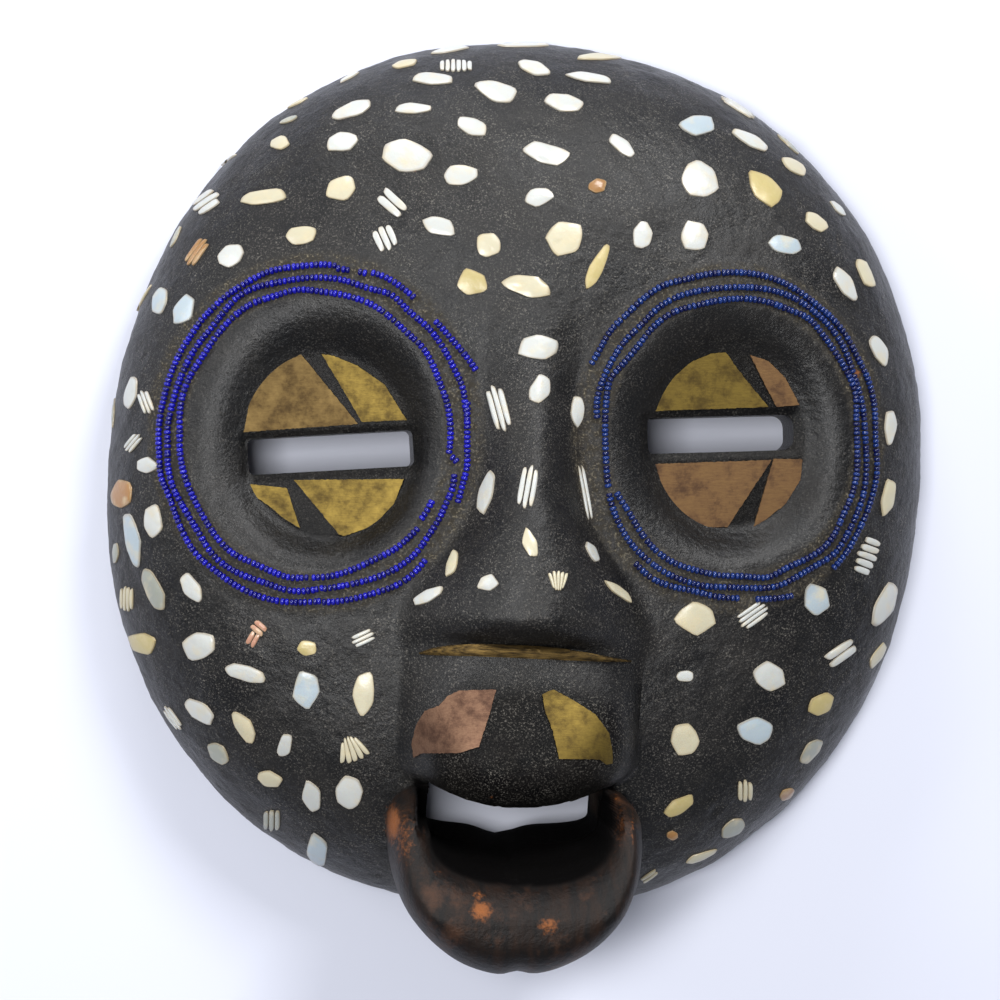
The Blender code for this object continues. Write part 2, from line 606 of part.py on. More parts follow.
def string_points():
    """Points close together along every row of beads."""
    routes = [strand_route(EYES[side], start, end, outward, BEAD_WIDTH)
              for side, start, end, outward in STRANDS.values()]
    return np.concatenate([np.stack(route, axis=-1) for route in routes])


def clear_of_strings(x, y, length, width, turn, strings):
    """A chip's middle, moved straight away from the nearer eye until the chip clears every row of beads."""
    eye = EYES["left" if x < 0.0 else "right"]
    middle = np.array([x * HALF_W, y * HALF_H])
    away = middle - (eye["ring"][0] * HALF_W, eye["ring"][1] * HALF_H)
    away /= np.linalg.norm(away)
    c, s = math.cos(math.radians(turn)), math.sin(math.radians(turn))
    margin = BEAD_WIDTH / 2 + CHIP_GAP
    half_sizes = 0.5 * MM * CHIP_SWELL * np.array([length, width]) + margin
    for _ in range(CHIP_MOVES):
        near = (strings - middle) @ np.array([[c, -s], [s, c]]) / half_sizes
        if np.hypot(near[:, 0], near[:, 1]).min() >= 1.0:
            break
        middle = middle + away * CHIP_SHIFT
    return middle[0] / HALF_W, middle[1] / HALF_H


def main():
    for obj in list(bpy.data.objects):
        bpy.data.objects.remove(obj)
    wood = principled("black painted wood", (0.020, 0.020, 0.021), 0.45)
    brass = principled("brass sheet", (0.42, 0.31, 0.08), 0.38, 1.0)
    copper = principled("copper sheet", (0.36, 0.19, 0.09), 0.38, 1.0)
    glass = principled("blue glass beads", (0.01, 0.01, 0.45), 0.12)
    shell = principled("sea shell", (0.86, 0.85, 0.80), 0.30)
    metals = {"brass": brass, "copper": copper}

    mask = make_mask(wood)
    surface = BVHTree.FromPolygons(
        [v.co.copy() for v in mask.data.vertices], [tuple(p.vertices) for p in mask.data.polygons])
    for side, plates in EYE_PLATES.items():
        for number, (metal, arc, corners) in enumerate(plates, start=1):
            make_eye_plate(f"{side}_plate_{number}", EYES[side], arc, corners, metals[metal])
    for name, (metal, corners) in MUZZLE_PLATES.items():
        outline = [(x * HALF_W, y * HALF_H) for x, y in corners]
        seated_patch(name, outline, PLATE_THICKNESS, metals[metal], surface, rings=3)
    make_nose_strip(brass, surface)
    for name, (side, start, end, outward) in STRANDS.items():
        make_strand("bead_" + name, EYES[side], start, end, outward, glass, surface)
    strings = string_points()
    for number, (x, y, length, width, turn) in enumerate(CHIPS, start=1):
        x, y = clear_of_strings(x, y, length, width, turn, strings)
        outline = chip_outline(x, y, length, width, turn, number)
        seated_patch(f"shell_{number:02d}", outline, CHIP_THICKNESS, shell, surface, rings=1)
    centre_on_origin()


def centre_on_origin():
    """Hangs every piece on one empty and moves it, so that the origin is under the middle of the whole mask."""
    corners = np.array([v.co for v in bpy.data.objects["mask"].data.vertices])
    low, high = corners.min(axis=0), corners.max(axis=0)
    root = bpy.data.objects.new("mask_origin", None)
    bpy.context.collection.objects.link(root)
    root.location = (-(low[0] + high[0]) / 2, -(low[1] + high[1]) / 2, -low[2])
    for obj in bpy.data.objects:
        if obj is not root:
            obj.parent = root


main()
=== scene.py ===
import math

import bmesh
import bpy
import numpy as np
from mathutils import Matrix, Vector
from mathutils.bvhtree import BVHTree


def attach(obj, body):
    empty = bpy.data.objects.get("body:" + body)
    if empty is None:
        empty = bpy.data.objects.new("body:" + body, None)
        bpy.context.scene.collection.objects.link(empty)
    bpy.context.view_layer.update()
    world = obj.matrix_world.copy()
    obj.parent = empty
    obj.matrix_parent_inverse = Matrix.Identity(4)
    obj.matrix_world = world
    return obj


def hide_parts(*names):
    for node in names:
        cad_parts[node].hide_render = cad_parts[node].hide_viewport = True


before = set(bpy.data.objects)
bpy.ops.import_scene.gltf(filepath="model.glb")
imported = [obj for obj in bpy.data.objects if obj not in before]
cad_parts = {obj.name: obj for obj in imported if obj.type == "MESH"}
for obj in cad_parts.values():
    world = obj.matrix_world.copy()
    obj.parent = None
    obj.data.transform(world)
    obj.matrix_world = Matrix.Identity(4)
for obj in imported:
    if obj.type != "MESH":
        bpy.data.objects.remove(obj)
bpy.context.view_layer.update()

mm = 0.001
halfW, halfH = 0.1475, 0.157  # half the face's width and height
middleY = 0.0059  # the face's own middle lies this far up from the origin
photoSide = 1000.0  # the photograph's width and height in pixels

print("frame loaded:", len(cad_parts), "solids")


def smoothStep(t):
    t = np.clip(t, 0.0, 1.0)
    return t * t * (3.0 - 2.0 * t)


def bump(x, y, atX, atY, sizeX, sizeY):
    # a soft round hill: one at its middle, fading as the square of the distance in its own sizes
    return np.exp(-((x - atX) / sizeX) ** 2 - ((y - atY) / sizeY) ** 2)


def linear(code, alpha=1.0):
    # an sRGB hex colour to the linear values that a shader takes
    parts = [int(code[i:i + 2], 16) / 255.0 for i in (1, 3, 5)]
    return tuple(c / 12.92 if c <= 0.04045 else ((c + 0.055) / 1.055) ** 2.4 for c in parts) + (alpha,)


def noise(points, size, seed=0.0):
    # value noise: random numbers on a lattice of that size, joined smoothly between its points
    p = points / size + 31.7 * seed
    low = np.floor(p)
    part = smoothStep(p - low)
    total = np.zeros(len(points))
    for corner in range(8):
        step = np.array([corner & 1, corner >> 1 & 1, corner >> 2 & 1], dtype=float)
        mixed = np.sin((low + step) @ np.array([127.1, 311.7, 74.7])) * 43758.5453
        weight = np.prod(np.where(step > 0.5, part, 1.0 - part), axis=1)
        total += weight * (mixed - np.floor(mixed))
    return total


def layeredNoise(points, size, seed=0.0, layers=3):
    # noise at that size and at halves of it, each half as strong, centred on zero
    total, strength = np.zeros(len(points)), 1.0
    for k in range(layers):
        total += strength * (noise(points, size / 2 ** k, seed + k) - 0.5)
        strength *= 0.5
    return total


def makePiece(name, verts, faces, slot, replaced=()):
    mesh = bpy.data.meshes.new(name)
    mesh.from_pydata(np.asarray(verts, dtype=float).tolist(), [], faces)
    mesh.validate()
    piece = bpy.data.objects.new(name, mesh)
    bpy.context.scene.collection.objects.link(piece)
    if slot:
        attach(piece, "root")
    if replaced:
        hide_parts(*replaced)
    return piece


def gridFaces(rows, columns, loopRows=False, loopColumns=False):
    # the quads of a grid of points, row after row, closed on itself where asked
    r = np.arange(rows if loopRows else rows - 1)
    c = np.arange(columns if loopColumns else columns - 1)
    r, c = np.meshgrid(r, c, indexing="ij")
    r2, c2 = (r + 1) % rows, (c + 1) % columns
    quads = np.stack([r * columns + c, r * columns + c2, r2 * columns + c2, r2 * columns + c], axis=-1)
    return quads.reshape(-1, 4).tolist()


def faceOut(piece):
    shape = bmesh.new()
    shape.from_mesh(piece.data)
    bmesh.ops.recalc_face_normals(shape, faces=shape.faces)
    shape.to_mesh(piece.data)
    shape.free()


def storeValue(piece, name, values):
    attribute = piece.data.attributes.new(name, "FLOAT", "POINT")
    attribute.data.foreach_set("value", np.asarray(values, dtype=np.float32))


def storeColour(piece, name, values):
    attribute = piece.data.attributes.new(name, "FLOAT_COLOR", "POINT")
    attribute.data.foreach_set("color", np.asarray(values, dtype=np.float32).ravel())


def pointsOf(piece):
    flat = np.empty(len(piece.data.vertices) * 3)
    piece.data.vertices.foreach_get("co", flat)
    return flat.reshape(-1, 3)


def normalsOf(piece):
    flat = np.empty(len(piece.data.vertices) * 3)
    piece.data.vertex_normals.foreach_get("vector", flat)
    return flat.reshape(-1, 3)


def addNode(tree, kind, links=None, stops=(), **values):
    # a node with its settings, its fixed inputs, its links and a colour ramp's stops; a linked node gives
    # its first output
    made = tree.nodes.new("ShaderNode" + kind)
    for key, value in values.items():
        if hasattr(made, key):
            setattr(made, key, value)
        else:
            made.inputs[key.replace("_", " ")].default_value = value
    for key, source in (links or {}).items():
        output = source.outputs[0] if hasattr(source, "outputs") else source
        tree.links.new(output, made.inputs[key])
    for k, (position, colour) in enumerate(stops):
        made.color_ramp.elements[k].position = position
        made.color_ramp.elements[k].color = colour
    return made


def newMaterial(name):
    material = bpy.data.materials.new(name)
    material.use_nodes = True
    tree = material.node_tree
    tree.nodes.clear()
    shader = addNode(tree, "BsdfPrincipled")
    addNode(tree, "OutputMaterial", {"Surface": shader.outputs[0]})
    return material, tree, shader


camera = {
    "aim": (-8.2, -8.5, 30.0),  # mm in the face's own frame, seen in the middle of the photograph
    "lean": 5.0,  # degrees that the camera stands to the left of straight ahead
    "roll": 1.0,
    "distance": 1.0,
    "span": 0.356,  # metres across the photograph at that distance
    "sensor": 36.0,
}
lean, roll = math.radians(camera["lean"]), math.radians(camera["roll"])
aimPoint = np.array(camera["aim"]) * mm + np.array([0.0, middleY, 0.0])
viewDir = np.array([math.sin(lean), 0.0, -math.cos(lean)])
eyePoint = aimPoint - viewDir * camera["distance"]
flatRight, flatUp = np.array([math.cos(lean), 0.0, math.sin(lean)]), np.array([0.0, 1.0, 0.0])
viewRight = flatRight * math.cos(roll) + flatUp * math.sin(roll)
viewUp = flatUp * math.cos(roll) - flatRight * math.sin(roll)
focal = photoSide * camera["distance"] / camera["span"]  # in pixels
middlePixel = 0.5 * photoSide


def placeCamera():
    data = bpy.data.cameras.new("camera")
    data.sensor_width = camera["sensor"]
    data.lens = camera["sensor"] * camera["distance"] / camera["span"]
    holder = bpy.data.objects.new("camera", data)
    bpy.context.scene.collection.objects.link(holder)
    turn = Matrix([viewRight, viewUp, -viewDir]).transposed().to_4x4()
    holder.matrix_world = Matrix.Translation(Vector(eyePoint)) @ turn
    bpy.context.scene.camera = holder


def sightLine(px, py):
    # the direction from the camera through a point of the photograph, in its pixels
    line = viewDir + viewRight * (px - middlePixel) / focal - viewUp * (py - middlePixel) / focal
    return line / np.linalg.norm(line)


def seenAt(points):
    # the photograph's pixels of points in space
    q = points - eyePoint
    depth = q @ viewDir
    px = middlePixel + focal * (q @ viewRight) / depth
    return px, middlePixel - focal * (q @ viewUp) / depth


placeCamera()
bpy.context.scene.view_settings.view_transform = "Standard"


face = {
    "depth": 0.066, "rimEdge": 0.008, "rimWidth": 0.016, "hollowDepth": 0.034, "hollowEdge": 0.004,
    "outlinePower": 2.15, "outlineTurn": math.radians(-6.0), "domePower": 3.8,
    "socketDepth": 0.010, "floorMargin": 0.99, "mouthMargin": 0.96, "plateBed": 0.0006,
    "evenWall": 0.45, "wallPower": 1.1,  # the socket walls: the part that falls evenly, the rest's curve
    "edgeFade": 0.05,  # the share of the outline over which the nose and muzzle fade to nothing
    "cell": 0.00145,  # the size of the mesh's cells
}
forehead = {"x": 0.0, "y": 0.62, "spread": 0.36, "rise": 0.06}
eyes = {
    "left": {"ring": (-0.508, 0.085), "ringSize": (0.311, 0.313), "floor": (-0.475, 0.060),
             "floorSize": (0.193, 0.202), "slope": 0.11, "slitOff": (0.0007, -0.0025), "slitTurn": 4.2,
             "slitLength": 0.057, "slitCorners": (0.0020, 0.0020, 0.0020, 0.0020)},
    "right": {"ring": (0.473, 0.092), "ringSize": (0.307, 0.307), "floor": (0.478, 0.088),
              "floorSize": (0.184, 0.195), "slope": -0.12, "slitOff": (-0.0036, 0.0021), "slitTurn": 2.7,
              "slitLength": 0.053, "slitCorners": (0.0042, 0.0020, 0.0020, 0.0042)},
}
slit = {"height": 0.0125, "bevel": 0.0021, "bevelDepth": 0.0012, "cornerPoints": 7, "levels": (-0.01, 0.09),
        "endSpare": 0.0005}
# Places and widths of the nose and muzzle are shares of the face's half width and half height. Rises, the
# crease, the muzzle's leftReach and its ending are in metres. A name with From in it holds where a change
# starts and over what run.
nose = {"x": -0.010, "top": 0.42, "tip": -0.299, "base": -0.386, "tilt": -0.045, "rise": 0.028,
        "crease": 0.0022, "bridge": 0.120, "growth": 0.025, "wing": 0.165, "wingFrom": (0.55, 0.40),
        "soft": (2, 1.6), "full": (2.3, 1.4), "under": (2.2, 0.75),  # inner and outer powers of a rounding
        "fullFrom": (0.35, 0.5), "fadeFrom": (0.10, 0.22), "brow": 0.10, "climb": 1.02, "climbPower": 0.9}
muzzle = {"x": -0.020, "halfWidth": 0.283, "top": -0.372, "bottom": -0.722, "arch": 1.15, "lip": 0.085,
          "rise": 0.027, "square": 3.4, "edge": 0.75, "leftSofter": 0.45, "leftReach": 0.03,
          "swell": 0.46, "swellRun": 1.25,
          "startFrom": (0.075, 0.05), "lipLow": 0.12, "lipShare": 0.35, "ending": 0.004}


def outlineShare(x, y, w=halfW, h=halfH):
    # superellipse: 0 at the middle of the face and 1 on its outline
    c, s = math.cos(face["outlineTurn"]), math.sin(face["outlineTurn"])
    u, v = np.abs((x * c + y * s) / w), np.abs((y * c - x * s) / h)
    return (u ** face["outlinePower"] + v ** face["outlinePower"]) ** (1.0 / face["outlinePower"])


def domeHeight(x, y):
    # the plain dome: flat in the middle, steep at the rim, a little fuller at the forehead
    share = np.clip(outlineShare(x, y), 0.0, 1.0)
    full = bump(x / halfW, y / halfH, forehead["x"], forehead["y"], forehead["spread"], forehead["spread"])
    profile = np.sqrt(1.0 - share ** face["domePower"])
    return face["rimEdge"] + (face["depth"] - face["rimEdge"]) * profile * (1.0 + forehead["rise"] * full)


def ellipseShare(x, y, centre, size, margin=1.0):
    u = (x - centre[0] * halfW) / (size[0] * halfW * margin)
    v = (y - centre[1] * halfH) / (size[1] * halfH * margin)
    return np.sqrt(u * u + v * v)


def floorHeight(eye, x):
    level = float(domeHeight(np.array(eye["ring"][0] * halfW), np.array(eye["ring"][1] * halfH)))
    return level - face["socketDepth"] + eye["slope"] * (x - eye["floor"][0] * halfW)


def noseRise(x, y):
    # a wedge that widens and rises from the brow to the tip, then rounds under to its base
    base = (nose["base"] + nose["tilt"] * x / halfW) * halfH
    top, tip = nose["top"] * halfH, nose["tip"] * halfH
    run = np.clip((top - y) / (top - base), 0.0, 1.0)
    wing = smoothStep((run - nose["wingFrom"][0]) / nose["wingFrom"][1])
    wide = halfW * (nose["bridge"] + nose["growth"] * run + nose["wing"] * wing)
    across = np.clip(np.abs(x - nose["x"] * halfW) / wide, 0.0, 1.0)
    soft, full = [(1.0 - across ** inner) ** outer for inner, outer in (nose["soft"], nose["full"])]
    blend = smoothStep((run - nose["fullFrom"][0]) / nose["fullFrom"][1])
    ridge = smoothStep(run * nose["climb"]) ** nose["climbPower"]
    ridge = nose["brow"] + (1.0 - nose["brow"]) * ridge
    inner, outer = nose["under"]
    under = np.clip(1.0 - (np.clip(tip - y, 0.0, None) / (tip - base)) ** inner, 0.0, 1.0) ** outer
    fade = smoothStep((top + nose["fadeFrom"][0] * halfH - y) / (nose["fadeFrom"][1] * halfH))
    return nose["rise"] * ridge * (soft + (full - soft) * blend) * under * fade


def muzzleBottom(x):
    return halfH * (muzzle["bottom"] + muzzle["arch"] * (x / halfW - muzzle["x"]) ** 2)


def muzzleRise(x, y):
    # a rounded block below the nose, fullest at its lower edge, with a rounded lip
    across = np.clip(np.abs(x / halfW - muzzle["x"]) / muzzle["halfWidth"], 0.0, 1.0)
    left = smoothStep((muzzle["x"] * halfW - x) / muzzle["leftReach"])
    edge = muzzle["edge"] + muzzle["leftSofter"] * left
    side = (1.0 - across ** muzzle["square"]) ** edge
    top, bottom = muzzle["top"] * halfH, muzzleBottom(x)
    run = np.clip((top - y) / (top - bottom), 0.0, 1.0)
    swell = muzzle["swell"] + (1.0 - muzzle["swell"]) * smoothStep(run * muzzle["swellRun"])
    start = smoothStep((top + muzzle["startFrom"][0] * halfH - y) / (muzzle["startFrom"][1] * halfH))
    lip = np.clip((y - bottom) / (muzzle["lip"] * halfH) + muzzle["lipLow"], 0.0, 1.0)
    rounding = np.sqrt(1.0 - (1.0 - lip) ** 2)
    rounding = muzzle["lipShare"] + (1.0 - muzzle["lipShare"]) * rounding
    ending = smoothStep((y - bottom + muzzle["ending"]) / muzzle["ending"])
    return muzzle["rise"] * side * swell * start * rounding * ending


def slitFrame(eye, x, y):
    # distances along and across an eye slit from its middle
    turn = math.radians(eye["slitTurn"])
    dx = x - eye["floor"][0] * halfW - eye["slitOff"][0]
    dy = y - eye["floor"][1] * halfH - eye["slitOff"][1]
    return dx * math.cos(turn) + dy * math.sin(turn), dy * math.cos(turn) - dx * math.sin(turn)


def faceHeight(x, y):
    # the carved front: the dome, two sockets with flat floors, bevelled slits, and the nose or the muzzle,
    # whichever stands higher, so that they meet in a crease
    height = domeHeight(x, y)
    edge = smoothStep((1.0 - outlineShare(x, y)) / face["edgeFade"])
    for eye in eyes.values():
        toFloor = ellipseShare(x, y, eye["floor"], eye["floorSize"], face["floorMargin"]) - 1.0
        toMouth = 1.0 - ellipseShare(x, y, eye["ring"], eye["ringSize"], face["mouthMargin"])
        share = np.clip(toFloor / np.maximum(toFloor + np.maximum(toMouth, 0.0), 1e-9), 0.0, 1.0)
        curved = np.sin(0.5 * math.pi * share ** face["wallPower"]) ** 2
        wall = face["evenWall"] * share + (1.0 - face["evenWall"]) * curved
        level = floorHeight(eye, x) - face["plateBed"]
        height = np.where(toMouth > 0.0, level + (height - level) * wall, height)
        along, across = slitFrame(eye, x, y)
        outside = np.hypot(np.clip(np.abs(along) - 0.5 * eye["slitLength"] - slit["endSpare"], 0.0, None),
                           np.clip(np.abs(across) - 0.5 * slit["height"], 0.0, None))
        height = height - slit["bevelDepth"] * smoothStep(1.0 - outside / slit["bevel"])
    first, second = noseRise(x, y), muzzleRise(x, y)
    higher = 0.5 * (first + second + np.sqrt((first - second) ** 2 + nose["crease"] ** 2) - nose["crease"])
    return height + higher * edge


def discGrid(across, down, w, h, fullness=0.0):
    # a square grid bent to the outline, its rings drawn together towards the rim by the dome's arc length
    u, v = np.meshgrid(np.linspace(-1, 1, across + 1), np.linspace(-1, 1, down + 1))
    discX, discY = u * np.sqrt(1.0 - v * v / 2.0), v * np.sqrt(1.0 - u * u / 2.0)
    radius, angle = np.minimum(np.hypot(discX, discY), 1.0), np.arctan2(discY, discX)
    share = 1.0 - np.linspace(1.0, 0.0, 4000) ** 3
    arc = np.concatenate([[0.0], np.cumsum(np.hypot(
        np.diff(share), fullness * np.diff(np.sqrt(1.0 - share ** face["domePower"]))))])
    radius = np.interp(radius * arc[-1], arc, share)
    reach = radius / outlineShare(np.cos(angle), np.sin(angle), w, h)
    return reach * np.cos(angle), reach * np.sin(angle)


def closedSheet(name, x, y, z, low):
    # a grid of heights closed by a straight wall and a flat underside
    rows, columns = x.shape
    top = np.stack([x, y, z], axis=-1).reshape(-1, 3)
    index = np.arange(rows * columns).reshape(rows, columns)
    border = np.concatenate([index[0, :], index[1:, -1], index[-1, -2::-1], index[-2:0:-1, 0]])
    wall = [top[border] * (1, 1, k) + (0, 0, low * (1.0 - k)) for k in (0.5, 0.0)]
    verts = np.concatenate([top] + wall)
    count = len(border)
    rings = [border, len(top) + np.arange(count), len(top) + count + np.arange(count)]
    faces = gridFaces(rows, columns)
    for upper, lower in zip(rings, rings[1:]):
        faces += np.stack([np.roll(upper, -1), upper, lower, np.roll(lower, -1)], axis=-1).tolist()
    faces.append(rings[-1].tolist())
    sheet = makePiece(name, verts, faces, None)
    faceOut(sheet)
    return sheet


def ringStack(name, rings):
    rings = np.asarray(rings)
    levels, count = rings.shape[:2]
    faces = gridFaces(levels, count, loopColumns=True)
    faces.append(list(range(count)))
    faces.append(list(range((levels - 1) * count, levels * count)))
    stack = makePiece(name, rings.reshape(-1, 3), faces, None)
    faceOut(stack)
    return stack


def combine(target, tool, operation):
    modifier = target.modifiers.new("cut", "BOOLEAN")
    modifier.operation = operation
    modifier.solver = "MANIFOLD"
    modifier.object = tool
    graph = bpy.context.evaluated_depsgraph_get()
    mesh = bpy.data.meshes.new_from_object(target.evaluated_get(graph))
    target.modifiers.clear()
    target.data = mesh
    bpy.data.objects.remove(tool)


jaw = {
    "x": -0.0050, "y": -0.1240, "halfWidth": 0.0431, "reach": 0.0450, "back": 0.0200, "front": 0.1065,
    "lean": 0.45, "widest": 0.60, "foot": 0.62, "sides": 120,
    "hollowHalfWidth": 0.0303, "hollowX": -0.0041, "lipFront": -0.1360, "lipBack": -0.1245,
    "hollowSide": -0.1195, "hollowArch": 0.010, "hollowFloor": 0.030, "rings": (22, 34, 14),
    "cleft": 0.0016, "cleftWidth": 0.09, "shoulder": 0.6, "bowl": 0.9, "lipWide": 0.80, "lipHigh": 0.62,
    "lipInside": 0.86, "lipPower": 2.4, "floorPower": 3.2,
    "armDrop": 0.020, "armTop": -0.117, "armFade": 0.014,
    "backFrom": -0.1210, "backHalfWidth": 0.0350, "backSoft": 0.004, "backBelow": 0.006,
}
passage = {
    "inset": 0.0004, "points": 60, "groove": 0.0035, "grooveX": -0.0065, "grooveWidth": 0.0075,
    "grooveTop": 0.08, "grooveAbove": 0.4,
    "levels": [  # height, how far down the opening reaches, and how square it is
        (-0.01, jaw["lipBack"], 3.2), (0.030, jaw["lipBack"], 3.2),
        (0.86 * jaw["front"], jaw["lipFront"] + 0.0006, 2.5), (0.12, jaw["lipFront"] - 0.004, 2.4),
    ],
}
meshing = {"beyond": 0.033, "skinPull": 0.4, "hollowPull": 0.2, "hollowCells": (110, 116)}


def jawOutline(turn):
    # the outer edge: a deep U below, a short arch above, with a slight cleft in the chin
    across, down = np.cos(turn), np.sin(turn)
    behind = down > 0.0
    across = np.where(behind, np.sign(across) * np.abs(across) ** jaw["shoulder"], across)
    down = np.where(behind, np.abs(down) ** jaw["shoulder"], down)
    reach = np.where(behind, jaw["back"], jaw["reach"])
    cleft = jaw["cleft"] * np.exp(-((turn - 1.5 * math.pi) / jaw["cleftWidth"]) ** 2)
    return jaw["x"] + jaw["halfWidth"] * across, jaw["y"] + (reach - cleft) * down


def hollowOutline(turn, floor, power):
    # the trough behind the lower lip: a flat-bottomed U from side to side
    across, down = np.cos(turn), np.sin(turn)
    x = jaw["hollowX"] + jaw["hollowHalfWidth"] * np.sign(across) * np.abs(across) ** (2.0 / power)
    y = jaw["hollowSide"] - (jaw["hollowSide"] - floor) * np.abs(down) ** (2.0 / power)
    return x, np.where(down > 0.0, jaw["hollowSide"] + jaw["hollowArch"] * down, y)


def jawTop(y):
    # the height of the jaw's front edge, lower towards the muzzle and dropping at the arms' ends
    drop = jaw["armDrop"] * smoothStep((y - jaw["armTop"]) / jaw["armFade"])
    return jaw["front"] - jaw["lean"] * np.clip(y - (jaw["y"] - 0.5 * jaw["reach"]), 0.0, None) - drop


def underMuzzle(x, y, z):
    # between the jaw's two arms its back stays below the upper lip
    soft = jaw["backSoft"]
    share = smoothStep((y - jaw["backFrom"]) / soft)
    share = share * smoothStep((jaw["backHalfWidth"] - np.abs(x - jaw["x"])) / soft)
    return z + (np.minimum(z, faceHeight(x, y + soft) - jaw["backBelow"]) - z) * share


def makeJaw():
    # a cup: up its outer side, over a round lip and down into the trough
    turn = np.linspace(0.0, 2.0 * math.pi, jaw["sides"], endpoint=False)
    outX, outY = jawOutline(turn)
    rings = []
    sideRings, lipRings, troughRings = jaw["rings"]
    for share in np.linspace(0.0, 1.0, sideRings)[:-1]:
        size = jaw["foot"] + (1.0 - jaw["foot"]) * math.sin(0.5 * math.pi * share) ** jaw["bowl"]
        x, y = jaw["x"] + (outX - jaw["x"]) * size, jaw["y"] + (outY - jaw["y"]) * size
        rings.append(np.stack([x, y, underMuzzle(x, y, share * jaw["widest"] * jawTop(y))], axis=-1))
    inX, inY = hollowOutline(turn, jaw["lipFront"], jaw["lipPower"])
    for phase in np.linspace(0.0, math.pi, lipRings):
        part = 0.5 + 0.5 * np.sign(np.cos(phase)) * abs(np.cos(phase)) ** jaw["lipWide"]
        lift = abs(math.sin(phase)) ** jaw["lipHigh"]
        x, y = inX + (outX - inX) * part, inY + (outY - inY) * part
        rest = jaw["widest"] if phase < 0.5 * math.pi else jaw["lipInside"]
        rings.append(np.stack([x, y, underMuzzle(x, y, jawTop(y) * (rest + (1.0 - rest) * lift))], axis=-1))
    backX, backY = hollowOutline(turn, jaw["lipBack"], jaw["floorPower"])
    for share in np.linspace(0.0, 1.0, troughRings)[1:]:
        x, y = inX + (backX - inX) * share, inY + (backY - inY) * share
        z = jawTop(inY) * jaw["lipInside"] * (1.0 - share) + jaw["hollowFloor"] * share
        rings.append(np.stack([x, y, underMuzzle(x, y, z)], axis=-1))
    return ringStack("jawCup", rings)


def makePassage():
    # the way through to the back, under the arch of the upper lip
    half, middle = jaw["hollowHalfWidth"] - passage["inset"], jaw["hollowX"]
    topX = middle + half * np.linspace(1.0, -1.0, passage["points"])
    turn = np.linspace(math.pi, 2.0 * math.pi, passage["points"])
    rings = []
    for z, floor, power in passage["levels"]:
        across, down = np.cos(turn), np.sin(turn)
        x = middle + half * np.sign(across) * np.abs(across) ** (2.0 / power)
        groove = passage["groove"] * np.exp(-((x - passage["grooveX"]) / passage["grooveWidth"]) ** 2)
        groove = groove * (1.0 if z < passage["grooveTop"] else passage["grooveAbove"])
        y = jaw["hollowSide"] - (jaw["hollowSide"] - floor) * np.abs(down) ** (2.0 / power) - groove
        ringX, ringY = np.concatenate([topX, x]), np.concatenate([muzzleBottom(topX), y])
        rings.append(np.stack([ringX, ringY, np.full_like(ringX, z)], axis=-1))
    return ringStack("passage", rings)


def makeSlit(eye):
    # a long opening with a round corner at each of its four ends, right through the wood
    points = slit["cornerPoints"]
    corner = np.repeat(eye["slitCorners"], points)
    turns = np.radians(np.concatenate([np.linspace(0, 90, points) + 90 * k for k in range(4)]))
    signX, signY = np.repeat([1, -1, -1, 1], points), np.repeat([1, 1, -1, -1], points)
    along = signX * (0.5 * eye["slitLength"] - corner) + corner * np.cos(turns)
    across = signY * (0.5 * slit["height"] - corner) + corner * np.sin(turns)
    turn = math.radians(eye["slitTurn"])
    x = eye["floor"][0] * halfW + eye["slitOff"][0] + along * math.cos(turn) - across * math.sin(turn)
    y = eye["floor"][1] * halfH + eye["slitOff"][1] + along * math.sin(turn) + across * math.cos(turn)
    return ringStack("slit", [np.stack([x, y, np.full_like(x, z)], axis=-1) for z in slit["levels"]])


def makeHollow():
    # the back, carved out to an even depth inside the rim
    w, h = halfW - face["rimWidth"], halfH - face["rimWidth"]
    x, y = discGrid(*meshing["hollowCells"], w, h, meshing["hollowPull"])
    share = np.clip(outlineShare(x, y, w, h), 0.0, 1.0)
    low, deep = face["hollowEdge"], face["hollowDepth"]
    z = low + (deep - low) * np.sqrt(1.0 - share ** face["domePower"])
    return closedSheet("hollow", x, y, z, -0.01)


def makeMask():
    reach = 2.0 * (halfW + meshing["beyond"])
    cells = int(reach / face["cell"]), int(reach * halfH / halfW / face["cell"])
    x, y = discGrid(*cells, halfW, halfH, meshing["skinPull"])
    mask = closedSheet("maskSkin", x, y, faceHeight(x, y), 0.0)
    combine(mask, makeJaw(), "UNION")
    combine(mask, makeHollow(), "DIFFERENCE")
    combine(mask, makePassage(), "DIFFERENCE")
    for eye in eyes.values():
        combine(mask, makeSlit(eye), "DIFFERENCE")
    return mask


mask = makeMask()
print("mask carved:", len(mask.data.polygons), "faces")

